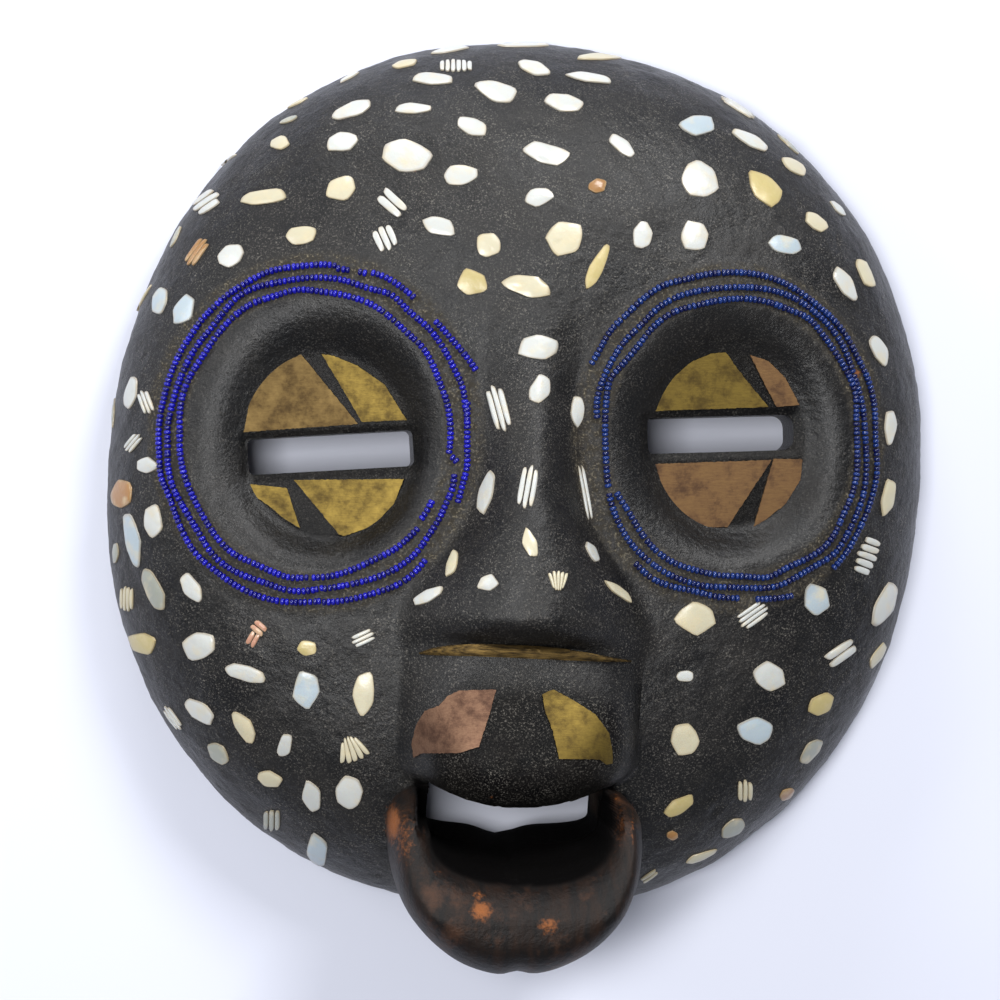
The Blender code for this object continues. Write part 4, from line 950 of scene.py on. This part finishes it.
# Where each chip lies in the photograph: x and y in pixels, length, width, turn in degrees, colour and
# number of ribs, which run along the length, or across it where the number is below zero
chips = [
    (450, 50, 38, 8, 10, "white", 1), (405, 64, 25, 8, 12, "cream", 1),
    (456, 66, 33, 12, 0, "white", -6), (433, 79, 41, 12, -3, "white", 1),
    (350, 77, 22, 6, 28, "white", 1), (298, 103, 22, 6, 28, "cream", 1),
    (497, 92, 40, 20, -15, "white", 1), (352, 110, 42, 13, 20, "white", 1),
    (413, 109, 37, 10, 0, "white", 1), (289, 120, 18, 5, 22, "grey", 1),
    (280, 143, 19, 13, 15, "cream", 1), (342, 142, 31, 20, 15, "white", 1),
    (473, 127, 31, 17, -20, "white", 1), (406, 155, 52, 31, -10, "white", 1),
    (229, 160, 28, 7, 37, "white", 1), (460, 175, 34, 21, 0, "white", 1),
    (341, 189, 29, 22, 25, "cream", 1), (206, 202, 30, 20, 35, "white", 3),
    (264, 197, 48, 15, 8, "cream", 1), (392, 203, 33, 18, -42, "white", 2),
    (439, 226, 34, 19, -12, "white", 1), (385, 238, 26, 22, -65, "white", 3),
    (301, 235, 31, 19, 5, "cream", 1), (488, 245, 26, 24, 90, "cream", 1),
    (176, 237, 24, 6, 65, "grey", 1), (197, 252, 33, 12, 55, "tan", 3),
    (231, 256, 28, 20, 35, "white", 1), (472, 282, 28, 26, 0, "yellow", 1),
    (160, 300, 27, 14, 75, "blue", 1), (184, 310, 30, 18, 62, "blue", 1),
    (144, 298, 38, 4, 63, "cream", 1), (121, 356, 19, 4, 80, "cream", 1),
    (131, 393, 32, 11, 77, "white", 1), (146, 402, 24, 12, -70, "white", 3),
    (499, 408, 48, 18, -75, "white", 3), (114, 412, 26, 5, 85, "grey", 1),
    (525, 45, 50, 9, 0, "white", 1), (600, 57, 43, 11, 0, "cream", 1),
    (534, 68, 33, 13, -15, "white", 1), (590, 78, 47, 8, -8, "white", 1),
    (564, 103, 41, 16, -10, "white", 1), (546, 154, 44, 21, -12, "white", 1),
    (622, 146, 30, 13, -38, "white", 1), (698, 125, 33, 20, 0, "blue", 1),
    (597, 186, 18, 14, 0, "tan", 1), (539, 197, 31, 16, 15, "white", 1),
    (700, 179, 38, 34, -40, "white", 1), (765, 189, 42, 22, -45, "yellow", 1),
    (750, 140, 39, 11, -30, "white", 1), (738, 108, 40, 10, -32, "white", 4),
    (789, 145, 28, 7, -42, "grey", 1), (795, 167, 27, 12, -35, "cream", 1),
    (838, 209, 22, 7, -45, "white", 1), (816, 222, 27, 14, -40, "cream", 1),
    (784, 244, 32, 18, -10, "blue", 1), (565, 238, 37, 34, 0, "cream", 1),
    (643, 235, 28, 19, 90, "white", 1), (695, 236, 32, 28, 90, "white", 1),
    (597, 267, 48, 14, 63, "yellow", 1), (845, 284, 38, 14, -53, "white", 1),
    (865, 273, 32, 12, -65, "cream", 1), (527, 286, 46, 23, -15, "cream", 1),
    (539, 347, 39, 25, 0, "white", 1), (540, 389, 30, 19, 65, "white", 1),
    (577, 411, 30, 14, 90, "white", 1), (879, 350, 32, 15, -65, "white", 1),
    (890, 427, 34, 11, 90, "white", 1), (133, 443, 22, 10, 50, "white", 3),
    (147, 465, 20, 15, 0, "white", 1), (122, 494, 28, 21, 90, "tan", 1),
    (153, 521, 29, 19, 90, "white", 1), (133, 539, 55, 14, -80, "blue", 1),
    (116, 553, 19, 8, 90, "grey", 1), (154, 590, 46, 17, -68, "grey", 1),
    (192, 588, 31, 17, -62, "white", 1), (127, 599, 25, 15, 90, "cream", 4),
    (142, 643, 26, 20, -25, "yellow", 1), (199, 646, 32, 27, 0, "white", 1),
    (259, 628, 17, 12, -40, "rose", 2), (253, 639, 16, 11, 60, "rose", 2),
    (307, 648, 19, 15, 0, "yellow", 1), (363, 638, 25, 13, 25, "white", 3),
    (245, 673, 44, 15, -15, "white", 1), (306, 689, 36, 26, 90, "blue", 1),
    (364, 693, 40, 20, 88, "cream", 1), (200, 711, 36, 16, -38, "white", 1),
    (173, 718, 28, 9, -55, "white", 3), (244, 727, 31, 16, -55, "cream", 1),
    (285, 745, 24, 14, 70, "white", 1), (352, 749, 26, 28, -70, "cream", 5),
    (218, 753, 27, 15, -50, "grey", 1), (208, 781, 32, 9, -50, "grey", 3),
    (269, 779, 26, 15, -20, "cream", 1), (312, 797, 30, 17, -70, "white", 1),
    (349, 793, 32, 28, 90, "white", 1), (272, 820, 22, 17, 90, "grey", 3),
    (317, 851, 35, 20, -80, "blue", 1), (452, 564, 27, 9, 72, "cream", 1),
    (428, 596, 34, 11, 27, "white", 1), (488, 583, 20, 16, 30, "white", 1),
    (486, 493, 45, 13, 75, "white", 1), (528, 487, 44, 18, 80, "white", 3),
    (585, 492, 60, 7, -80, "white", 2), (530, 543, 28, 14, -75, "cream", 1),
    (592, 552, 21, 9, -60, "white", 1), (558, 581, 20, 18, 90, "cream", 5),
    (618, 591, 33, 8, -37, "cream", 1), (695, 619, 37, 32, 0, "cream", 1),
    (753, 615, 34, 18, 35, "white", 4), (817, 600, 31, 25, 90, "blue", 1),
    (886, 603, 44, 18, 62, "white", 1), (867, 556, 38, 20, 70, "white", -5),
    (841, 653, 36, 16, 35, "white", 2), (878, 655, 28, 11, 60, "cream", 1),
    (685, 676, 18, 11, 0, "white", 1), (769, 676, 32, 29, 0, "white", 1),
    (821, 704, 27, 19, 50, "yellow", 1), (685, 739, 32, 27, 90, "cream", 1),
    (756, 730, 35, 25, 5, "blue", 1), (811, 751, 30, 14, 48, "grey", 1),
    (745, 791, 22, 15, 90, "cream", 3), (787, 794, 17, 11, 35, "tan", 1),
    (678, 806, 33, 15, 32, "yellow", 1), (733, 828, 27, 14, 33, "grey", 1),
    (672, 835, 12, 8, 0, "tan", 1), (701, 856, 34, 7, 20, "cream", 1),
    (649, 876, 20, 6, 35, "cream", 2), (888, 496, 36, 13, 80, "cream", 1),
]
shellColours = {
    "white": "#bcbcb7", "cream": "#beb59b", "yellow": "#b3a26e", "tan": "#976d40", "blue": "#a6b1b7",
    "grey": "#94958b", "rose": "#b2826b",
}
shellMarks = {"stain": "#cdbb94", "edge": "#8f7b5c"}


def chipFrame(px, py, length, width, turn):
    # the chip's middle on the skin and its two half axes there: the photograph's axes laid into the surface
    spot = castOnSkin(px, py)
    if spot is None:
        return None
    out = smoothNormal(np.array(spot[0]), np.array(spot[1] - middleY))
    depth = float((spot - eyePoint) @ viewDir)
    c, s = math.cos(math.radians(turn)), math.sin(math.radians(turn))
    halves = []
    for a, b, size in ((c, s, length), (-s, c, width)):
        flat = (viewRight * a + viewUp * b) * 0.5 * size * depth / focal
        line = (spot - eyePoint) / depth
        laid = flat - line * float(flat @ out) / float(line @ out)
        reach = float(np.linalg.norm(laid))
        laid *= min(1.0, shell["most"] / reach, shell["longer"] * float(np.linalg.norm(flat)) / reach)
        halves.append(laid)
    return spot, out, halves[0], halves[1]


def chipOutline(turn, whole, rng):
    # uneven and round; a chip in one piece is broken to a few nearly straight sides
    ragged = np.ones(len(turn))
    for (waves, height), shift in zip(shell["waves"], rng.uniform(0.0, 6.28, len(shell["waves"]))):
        ragged = ragged + height * np.sin(waves * turn + shift)
    if whole:
        corners = int(rng.integers(*shell["corners"]))
        moved = rng.uniform(-shell["cornerShift"], shell["cornerShift"], corners)
        facets = 2.0 * math.pi * (np.arange(corners) + moved) / corners
        facing = np.maximum(np.cos(turn[:, None] - facets[None]), shell["leastFacing"])
        sides = np.min(rng.uniform(*shell["cornerReach"], corners)[None] / facing, axis=1)
        straight = shell["straight"]
        ragged = (1.0 - straight) * ragged + straight * np.minimum(sides, shell["mostReach"])
    return ragged * np.cos(turn), ragged * np.sin(turn)


def ribOutline(u, v, rib, lines):
    # one rib of a chip: squarer and narrower, moved to its place across the chip
    ribs = abs(lines)
    u, v = [np.sign(w) * np.abs(w) ** shell["square"] for w in (u, v)]
    place = (rib + 0.5) / ribs * 2.0 - 1.0
    fan = shell["fan"] if lines > shell["fanFrom"] else 0.0
    v = v * shell["rib"] / ribs * (1.0 + fan * u) + place * (1.0 + fan * (u - shell["fanMiddle"]))
    u = u * math.sqrt(max(shell["shortest"], 1.0 - shell["shorter"] * place * place)) * shell["ribLength"]
    return (v, u) if lines < 0 else (u, v)


def chipPoints(u, v, steps, spot, out, longHalf, wideHalf):
    # rings from the middle to the outline, laid on the skin and domed, then the rim and a sunk underside
    midU, midV = u.mean(), v.mean()
    gridU = midU + (u - midU)[None, :] * steps[:, None]
    gridV = midV + (v - midV)[None, :] * steps[:, None]
    flat = spot + gridU[..., None] * longHalf + gridV[..., None] * wideHalf
    flat = dropOnSkin(flat.reshape(-1, 3)).reshape(len(steps), len(u), 3)
    lift = shell["lift"] + shell["crown"] * (1.0 - steps ** shell["crownPower"])
    top = flat + out * lift[:, None, None]
    rim = flat[-1] + out * (shell["lift"] - shell["turnDown"]) + (flat[-1] - flat[0]) * shell["rim"]
    low = flat[-1] - out * (shell["thickness"] - shell["lift"])
    floor = flat[0, :1] - out * (shell["thickness"] - shell["lift"])
    points = np.concatenate([top[:1, :1].reshape(1, 3), top[1:].reshape(-1, 3), rim, low, floor])
    points[:, 2] = np.maximum(points[:, 2], shell["lowest"])
    return points


def makeChips():
    # each chip is a low dome on an uneven outline; a ribbed one is split into narrow ones side by side
    rng = np.random.default_rng(shell["seed"])
    verts, faces, colours, first = [], [], [], 0
    sides, rings = shell["sides"], shell["rings"]
    turn = np.linspace(0.0, 2.0 * math.pi, sides, endpoint=False)
    steps = np.concatenate([[0.0], np.linspace(shell["firstRing"], 1.0, rings - 1)])
    last = 1 + rings * sides
    middle = [(0, 1 + k, 1 + (k + 1) % sides) for k in range(sides)]
    body = (np.array(gridFaces(rings + 1, sides, loopColumns=True)) + 1).tolist()
    under = [(last + sides, last + (k + 1) % sides, last + k) for k in range(sides)]
    edge = np.concatenate([[0.0], np.repeat(steps[1:], sides), np.ones(2 * sides), [1.0]])
    for px, py, length, width, angle, colour, lines in chips:
        placed = chipFrame(px, py, length, width, angle)
        if placed is None:
            print("no skin under chip at", px, py)
            continue
        tint = np.array(linear(shellColours[colour]))[:3]
        for rib in range(abs(lines)):
            u, v = chipOutline(turn, abs(lines) == 1, rng)
            if abs(lines) > 1:
                u, v = ribOutline(u, v, rib, lines)
            else:
                tint = tint * (1.0 + rng.normal(0.0, shell["tones"]))
            points = chipPoints(u, v, steps, *placed)
            faces += [[first + i for i in f] for f in middle + body + under]
            verts.append(points)
            colours.append(np.column_stack([np.tile(np.clip(tint, 0, 1), (len(points), 1)), edge]))
            first += len(points)
    nodes = [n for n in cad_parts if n.startswith("shell_")]
    piece = makePiece("shellChips", np.concatenate(verts), faces, "shell", nodes)
    faceOut(piece)
    storeColour(piece, "shellColour", np.concatenate(colours))
    piece.data.shade_smooth()
    piece.data.set_sharp_from_angle(angle=math.radians(shell["sharp"]))
    print("shell chips:", len(chips))
    return piece


shellPiece = makeChips()


def grey(value):
    return (value, value, value, 1.0)


paint = {"black": "#09090a", "dusty": "#1a1816", "speckle": "#8b867d", "paste": "#2b261d",
         "beige": "#877e69"}
# inside is near black, darker than the paint: painted shade for the mouth's trough, passage and inner walls
stainedWood = {"dark": "#090605", "warm": "#24150b", "brown": "#4a3020", "bare": "#8a5023",
               "inside": "#030202", "backDark": "#3a2819", "backLight": "#7d5b3a"}


def paintedWood():
    # black oil paint on carved wood: satin, a little dusty, its fine pits and brush grain catching the
    # light as grey specks, which are dust and painted glints in one; brown stained and oiled wood at the
    # jaw, rubbed bare in places, a few light strips on its rim's edges also a painted highlight; near-black
    # painted shade inside the mouth; raw wood behind
    material, tree, shader = newMaterial("blackPaintedWood")
    place = addNode(tree, "TexCoord").outputs["Object"]
    paste, back, onJaw, mouthShade, worn, socket, dull = (
        addNode(tree, "Attribute", attribute_name=name).outputs["Fac"]
        for name in ("paste", "back", "onJaw", "mouthShade", "worn", "socket", "dull"))

    # scales are waves per metre: dust in patches of 20 mm, specks of 0.5 to 1 mm, wood fibres 4 mm long
    dust = addNode(tree, "TexNoise", {"Vector": place}, Scale=48.0, Detail=9.0, Roughness=0.68)
    speck = addNode(tree, "TexNoise", {"Vector": place}, Scale=1500.0, Detail=3.0, Roughness=0.75)
    patchy = addNode(tree, "TexNoise", {"Vector": place}, Scale=85.0, Detail=4.0)
    black = addNode(tree, "ValToRGB", {"Fac": dust},
                    [(0.40, linear(paint["black"])), (0.74, linear(paint["dusty"]))])
    # grey specks: dust and painted glints of the paint's pits and brush grain in one, fewer in the sockets
    fleck = addNode(tree, "ValToRGB", {"Fac": speck}, [(0.54, grey(0.0)), (0.70, grey(0.65))])
    patch = addNode(tree, "ValToRGB", {"Fac": patchy}, [(0.35, grey(0.25)), (0.70, grey(1.0))])
    fleck = addNode(tree, "Math", {0: fleck, 1: patch}, operation="MULTIPLY")
    fewer = addNode(tree, "MapRange", {"Value": socket}, To_Min=1.0, To_Max=0.4)
    fleck = addNode(tree, "Math", {0: fleck, 1: fewer}, operation="MULTIPLY")
    colour = addNode(tree, "MixRGB", {"Fac": fleck, "Color1": black}, Color2=linear(paint["speckle"]))

    # the dark paste that holds the beads, with beige grit in it
    lumps = addNode(tree, "TexNoise", {"Vector": place}, Scale=420.0, Detail=5.0, Roughness=0.65)
    grit = addNode(tree, "TexNoise", {"Vector": place}, Scale=1100.0, Detail=2.0, Roughness=0.6)
    grit = addNode(tree, "ValToRGB", {"Fac": grit}, [(0.54, grey(0.0)), (0.68, grey(0.6))])
    pasteColour = addNode(tree, "MixRGB", {"Fac": grit}, Color1=linear(paint["paste"]),
                          Color2=linear(paint["beige"]))
    lumps = addNode(tree, "ValToRGB", {"Fac": lumps}, [(0.38, grey(0.15)), (0.62, grey(0.95))])
    pasted = addNode(tree, "Math", {0: paste, 1: lumps}, operation="MULTIPLY")
    colour = addNode(tree, "MixRGB", {"Fac": pasted, "Color1": colour, "Color2": pasteColour})

    # stained wood, cloudy brown where it is handled and orange where it is rubbed bare; on a few strips of
    # the rim's edges that orange is also a painted highlight
    along = addNode(tree, "Mapping", {"Vector": place}, Scale=(1.0, 0.16, 0.30))
    fibre = addNode(tree, "TexNoise", {"Vector": along}, Scale=250.0, Detail=7.0,
                    Roughness=0.6, Distortion=0.4)
    stain = addNode(tree, "ValToRGB", {"Fac": fibre},
                    [(0.40, linear(stainedWood["dark"])), (0.74, linear(stainedWood["warm"]))])
    clouds = addNode(tree, "TexNoise", {"Vector": place}, Scale=62.0, Detail=8.0, Roughness=0.75)
    clouds = addNode(tree, "ValToRGB", {"Fac": clouds}, [(0.52, grey(0.0)), (0.68, grey(0.65))])
    stain = addNode(tree, "MixRGB", {"Fac": clouds, "Color1": stain}, Color2=linear(stainedWood["brown"]))
    scuff = addNode(tree, "TexNoise", {"Vector": place}, Scale=620.0, Detail=7.0, Roughness=0.8)
    rubbed = addNode(tree, "MapRange", {"Value": worn}, To_Max=0.52)
    bare = addNode(tree, "Math", {0: rubbed, 1: scuff}, operation="ADD")
    bare = addNode(tree, "ValToRGB", {"Fac": bare}, [(0.76, grey(0.0)), (0.94, grey(0.95))])
    bareWood = addNode(tree, "Math", {0: bare, 1: worn}, operation="MULTIPLY")
    colour = addNode(tree, "MixRGB", {"Fac": onJaw, "Color1": colour, "Color2": stain})
    colour = addNode(tree, "MixRGB", {"Fac": bareWood, "Color1": colour},
                     Color2=linear(stainedWood["bare"]))
    # painted shade: the mouth's trough, passage and inner walls turned near black
    colour = addNode(tree, "MixRGB", {"Fac": mouthShade, "Color1": colour},
                     Color2=linear(stainedWood["inside"]))
    rawWood = addNode(tree, "MixRGB", {"Fac": fibre}, Color1=linear(stainedWood["backDark"]),
                      Color2=linear(stainedWood["backLight"]))
    colour = addNode(tree, "MixRGB", {"Fac": back, "Color1": colour, "Color2": rawWood})
    tree.links.new(colour.outputs[0], shader.inputs["Base Color"])

    gloss = addNode(tree, "ValToRGB", {"Fac": dust}, [(0.35, grey(0.34)), (0.72, grey(0.52))])
    gloss = addNode(tree, "MixRGB", {"Fac": socket, "Color1": gloss}, Color2=grey(0.33))
    gloss = addNode(tree, "MixRGB", {"Fac": onJaw, "Color1": gloss}, Color2=grey(0.52))
    gloss = addNode(tree, "MixRGB", {"Fac": pasted, "Color1": gloss}, Color2=grey(0.85))
    gloss = addNode(tree, "MixRGB", {"Fac": mouthShade, "Color1": gloss}, Color2=grey(0.95))
    gloss = addNode(tree, "MixRGB", {"Fac": back, "Color1": gloss}, Color2=grey(0.75))
    tree.links.new(gloss.outputs[0], shader.inputs["Roughness"])
    shine = addNode(tree, "MapRange", {"Value": dull}, To_Min=0.36, To_Max=0.06)
    tree.links.new(shine.outputs[0], shader.inputs["Specular IOR Level"])
    fine = addNode(tree, "Bump", {"Height": speck}, Strength=0.55, Distance=0.00025)
    wide = addNode(tree, "TexNoise", {"Vector": place}, Scale=380.0, Detail=5.0, Roughness=0.6)
    bumps = addNode(tree, "Bump", {"Height": wide, "Normal": fine}, Strength=0.55, Distance=0.0008)
    tree.links.new(bumps.outputs[0], shader.inputs["Normal"])
    return material


def seedBeads(name, deep, light, roughness):
    # opaque pressed glass: strong blue, glossy, each bead a shade of its own
    material, tree, shader = newMaterial(name)
    tone = addNode(tree, "Attribute", attribute_name="tone").outputs["Fac"]
    mixed = addNode(tree, "MixRGB", {"Fac": tone}, Color1=linear(deep), Color2=linear(light))
    tree.links.new(mixed.outputs[0], shader.inputs["Base Color"])
    shader.inputs["Roughness"].default_value = roughness
    shader.inputs["IOR"].default_value = 1.52
    return material


def polishedShell():
    # rubbed-down sea shell: near white, layered and faintly stained, with a soft gloss and a darker brown
    # edge
    material, tree, shader = newMaterial("seaShell")
    place = addNode(tree, "TexCoord").outputs["Object"]
    own = addNode(tree, "Attribute", attribute_name="shellColour")
    cloud = addNode(tree, "TexNoise", {"Vector": place}, Scale=190.0, Detail=5.0)
    cloud = addNode(tree, "ValToRGB", {"Fac": cloud}, [(0.50, grey(0.0)), (0.75, grey(0.55))])
    stained = addNode(tree, "MixRGB", {"Fac": cloud, "Color1": own}, Color2=linear(shellMarks["stain"]))
    # darker brown towards each chip's rim
    edge = addNode(tree, "MapRange", {"Value": own.outputs["Alpha"]}, From_Min=0.86,
                   From_Max=1.0, To_Max=0.55)
    rimmed = addNode(tree, "MixRGB", {"Fac": edge, "Color1": stained}, Color2=linear(shellMarks["edge"]))
    tree.links.new(rimmed.outputs[0], shader.inputs["Base Color"])
    shader.inputs["Roughness"].default_value = 0.30
    shader.inputs["IOR"].default_value = 1.53
    shader.inputs["Subsurface Weight"].default_value = 0.05
    fine = addNode(tree, "TexNoise", {"Vector": place}, Scale=600.0, Detail=3.0)
    bumps = addNode(tree, "Bump", {"Height": fine}, Strength=0.25, Distance=0.0003)
    tree.links.new(bumps.outputs[0], shader.inputs["Normal"])
    return material


def sheetMetal(name, bright, dull, stain, turn, stretch):
    # thin sheet metal gone dull: filed in fine scratches one way, brown with tarnish in patches, which the
    # stretch draws out along the scratches
    material, tree, shader = newMaterial(name)
    place = addNode(tree, "TexCoord").outputs["Object"]
    filed = addNode(tree, "Mapping", {"Vector": place}, Scale=(0.10, 1.0, 1.0), Rotation=(0.0, 0.0, turn))
    scratch = addNode(tree, "TexNoise", {"Vector": filed}, Scale=1900.0, Detail=4.0, Roughness=0.7)
    drawn = addNode(tree, "Mapping", {"Vector": place}, Scale=(1.0, stretch, stretch),
                    Rotation=(0.0, 0.0, turn))
    patch = addNode(tree, "TexNoise", {"Vector": drawn}, Scale=120.0, Detail=6.0, Roughness=0.7)
    lines = addNode(tree, "MapRange", {"Value": scratch}, To_Max=0.60)
    both = addNode(tree, "Math", {0: lines, 1: patch}, operation="ADD")
    metalColour = addNode(tree, "ValToRGB", {"Fac": both}, [(0.62, linear(dull)), (0.98, linear(bright))])
    tarnish = addNode(tree, "ValToRGB", {"Fac": patch}, [(0.34, grey(0.65)), (0.50, grey(0.0))])
    coloured = addNode(tree, "MixRGB", {"Fac": tarnish, "Color1": metalColour}, Color2=linear(stain))
    tree.links.new(coloured.outputs[0], shader.inputs["Base Color"])
    shader.inputs["Metallic"].default_value = 0.9
    rough = addNode(tree, "MapRange", {"Value": patch}, From_Min=0.35, From_Max=0.68,
                    To_Min=0.62, To_Max=0.50)
    tree.links.new(rough.outputs[0], shader.inputs["Roughness"])
    bumps = addNode(tree, "Bump", {"Height": scratch}, Strength=0.35, Distance=0.00014)
    tree.links.new(bumps.outputs[0], shader.inputs["Normal"])
    return material


glass = {  # each eye's beads: material, deepest and lightest blue, roughness
    "left": ("cobaltBeads", "#06065e", "#1414a2", 0.16),
    "right": ("navyBeads", "#0a1040", "#16306e", 0.12),
}
metals = {  # material, bright and dull metal, stain, turn of the scratches, how long the patches are
    "brass": sheetMetal("tarnishedBrass", "#77642f", "#5a4a25", "#40341d", 0.35, 1.0),
    "bronze": sheetMetal("brownBrass", "#62502f", "#4f3e24", "#392c1b", -0.15, 1.0),
    "copper": sheetMetal("tarnishedCopper", "#7e6140", "#634a35", "#463429", -0.25, 1.0),
    "pale": sheetMetal("paleCopper", "#826550", "#64493b", "#443229", 0.60, 1.0),
    "strip": sheetMetal("dullBrassStrip", "#6c5730", "#30271a", "#1b140c", 0.0, 9.0),
}
for metal, piece in platePieces.values():
    piece.data.materials.append(metals[metal])
mask.data.materials.clear()
mask.data.materials.append(paintedWood())
for side, values in glass.items():
    beadPieces[side].data.materials.append(seedBeads(*values))
shellPiece.data.materials.append(polishedShell())
print("materials done")


room = {"floor": "#d3d6e3", "floorHalf": 4.0, "rough": 0.9, "sky": "#dfe3ee", "skyPower": 0.35,
        "lookAt": (0.0, 0.0, 0.03)}
lights = {  # in metres and watts
    "key": {"at": (0.42, 0.85, 0.95), "size": 0.40, "power": 12.0},
    "front": {"at": (-0.29, -0.02, 1.25), "size": 0.34, "power": 11.0},
    "above": {"at": (-0.30, 1.25, 0.50), "size": 0.40, "power": 6.0},
    "left": {"at": (-1.0, 0.35, 0.60), "size": 0.50, "power": 4.0},
}


def placeStage():
    # a pale floor, square lights turned to the mask, and a weak even light from all round
    far = room["floorHalf"]
    corners = [(-far, -far, 0), (far, -far, 0), (far, far, 0), (-far, far, 0)]
    floor = makePiece("floor", corners, [(0, 1, 2, 3)], None)
    material, tree, shader = newMaterial("paleFloor")
    shader.inputs["Base Color"].default_value = linear(room["floor"])
    shader.inputs["Roughness"].default_value = room["rough"]
    floor.data.materials.append(material)
    for name, values in lights.items():
        data = bpy.data.lights.new(name, "AREA")
        data.energy, data.size = values["power"], values["size"]
        lamp = bpy.data.objects.new(name, data)
        bpy.context.scene.collection.objects.link(lamp)
        at = Vector(values["at"])
        turn = (at - Vector(room["lookAt"])).to_track_quat("Z", "Y").to_matrix().to_4x4()
        lamp.matrix_world = Matrix.Translation(at) @ turn
    world = bpy.data.worlds.new("room")
    world.use_nodes = True
    sky = world.node_tree.nodes["Background"]
    sky.inputs[0].default_value = linear(room["sky"])
    sky.inputs[1].default_value = room["skyPower"]
    bpy.context.scene.world = world


placeStage()
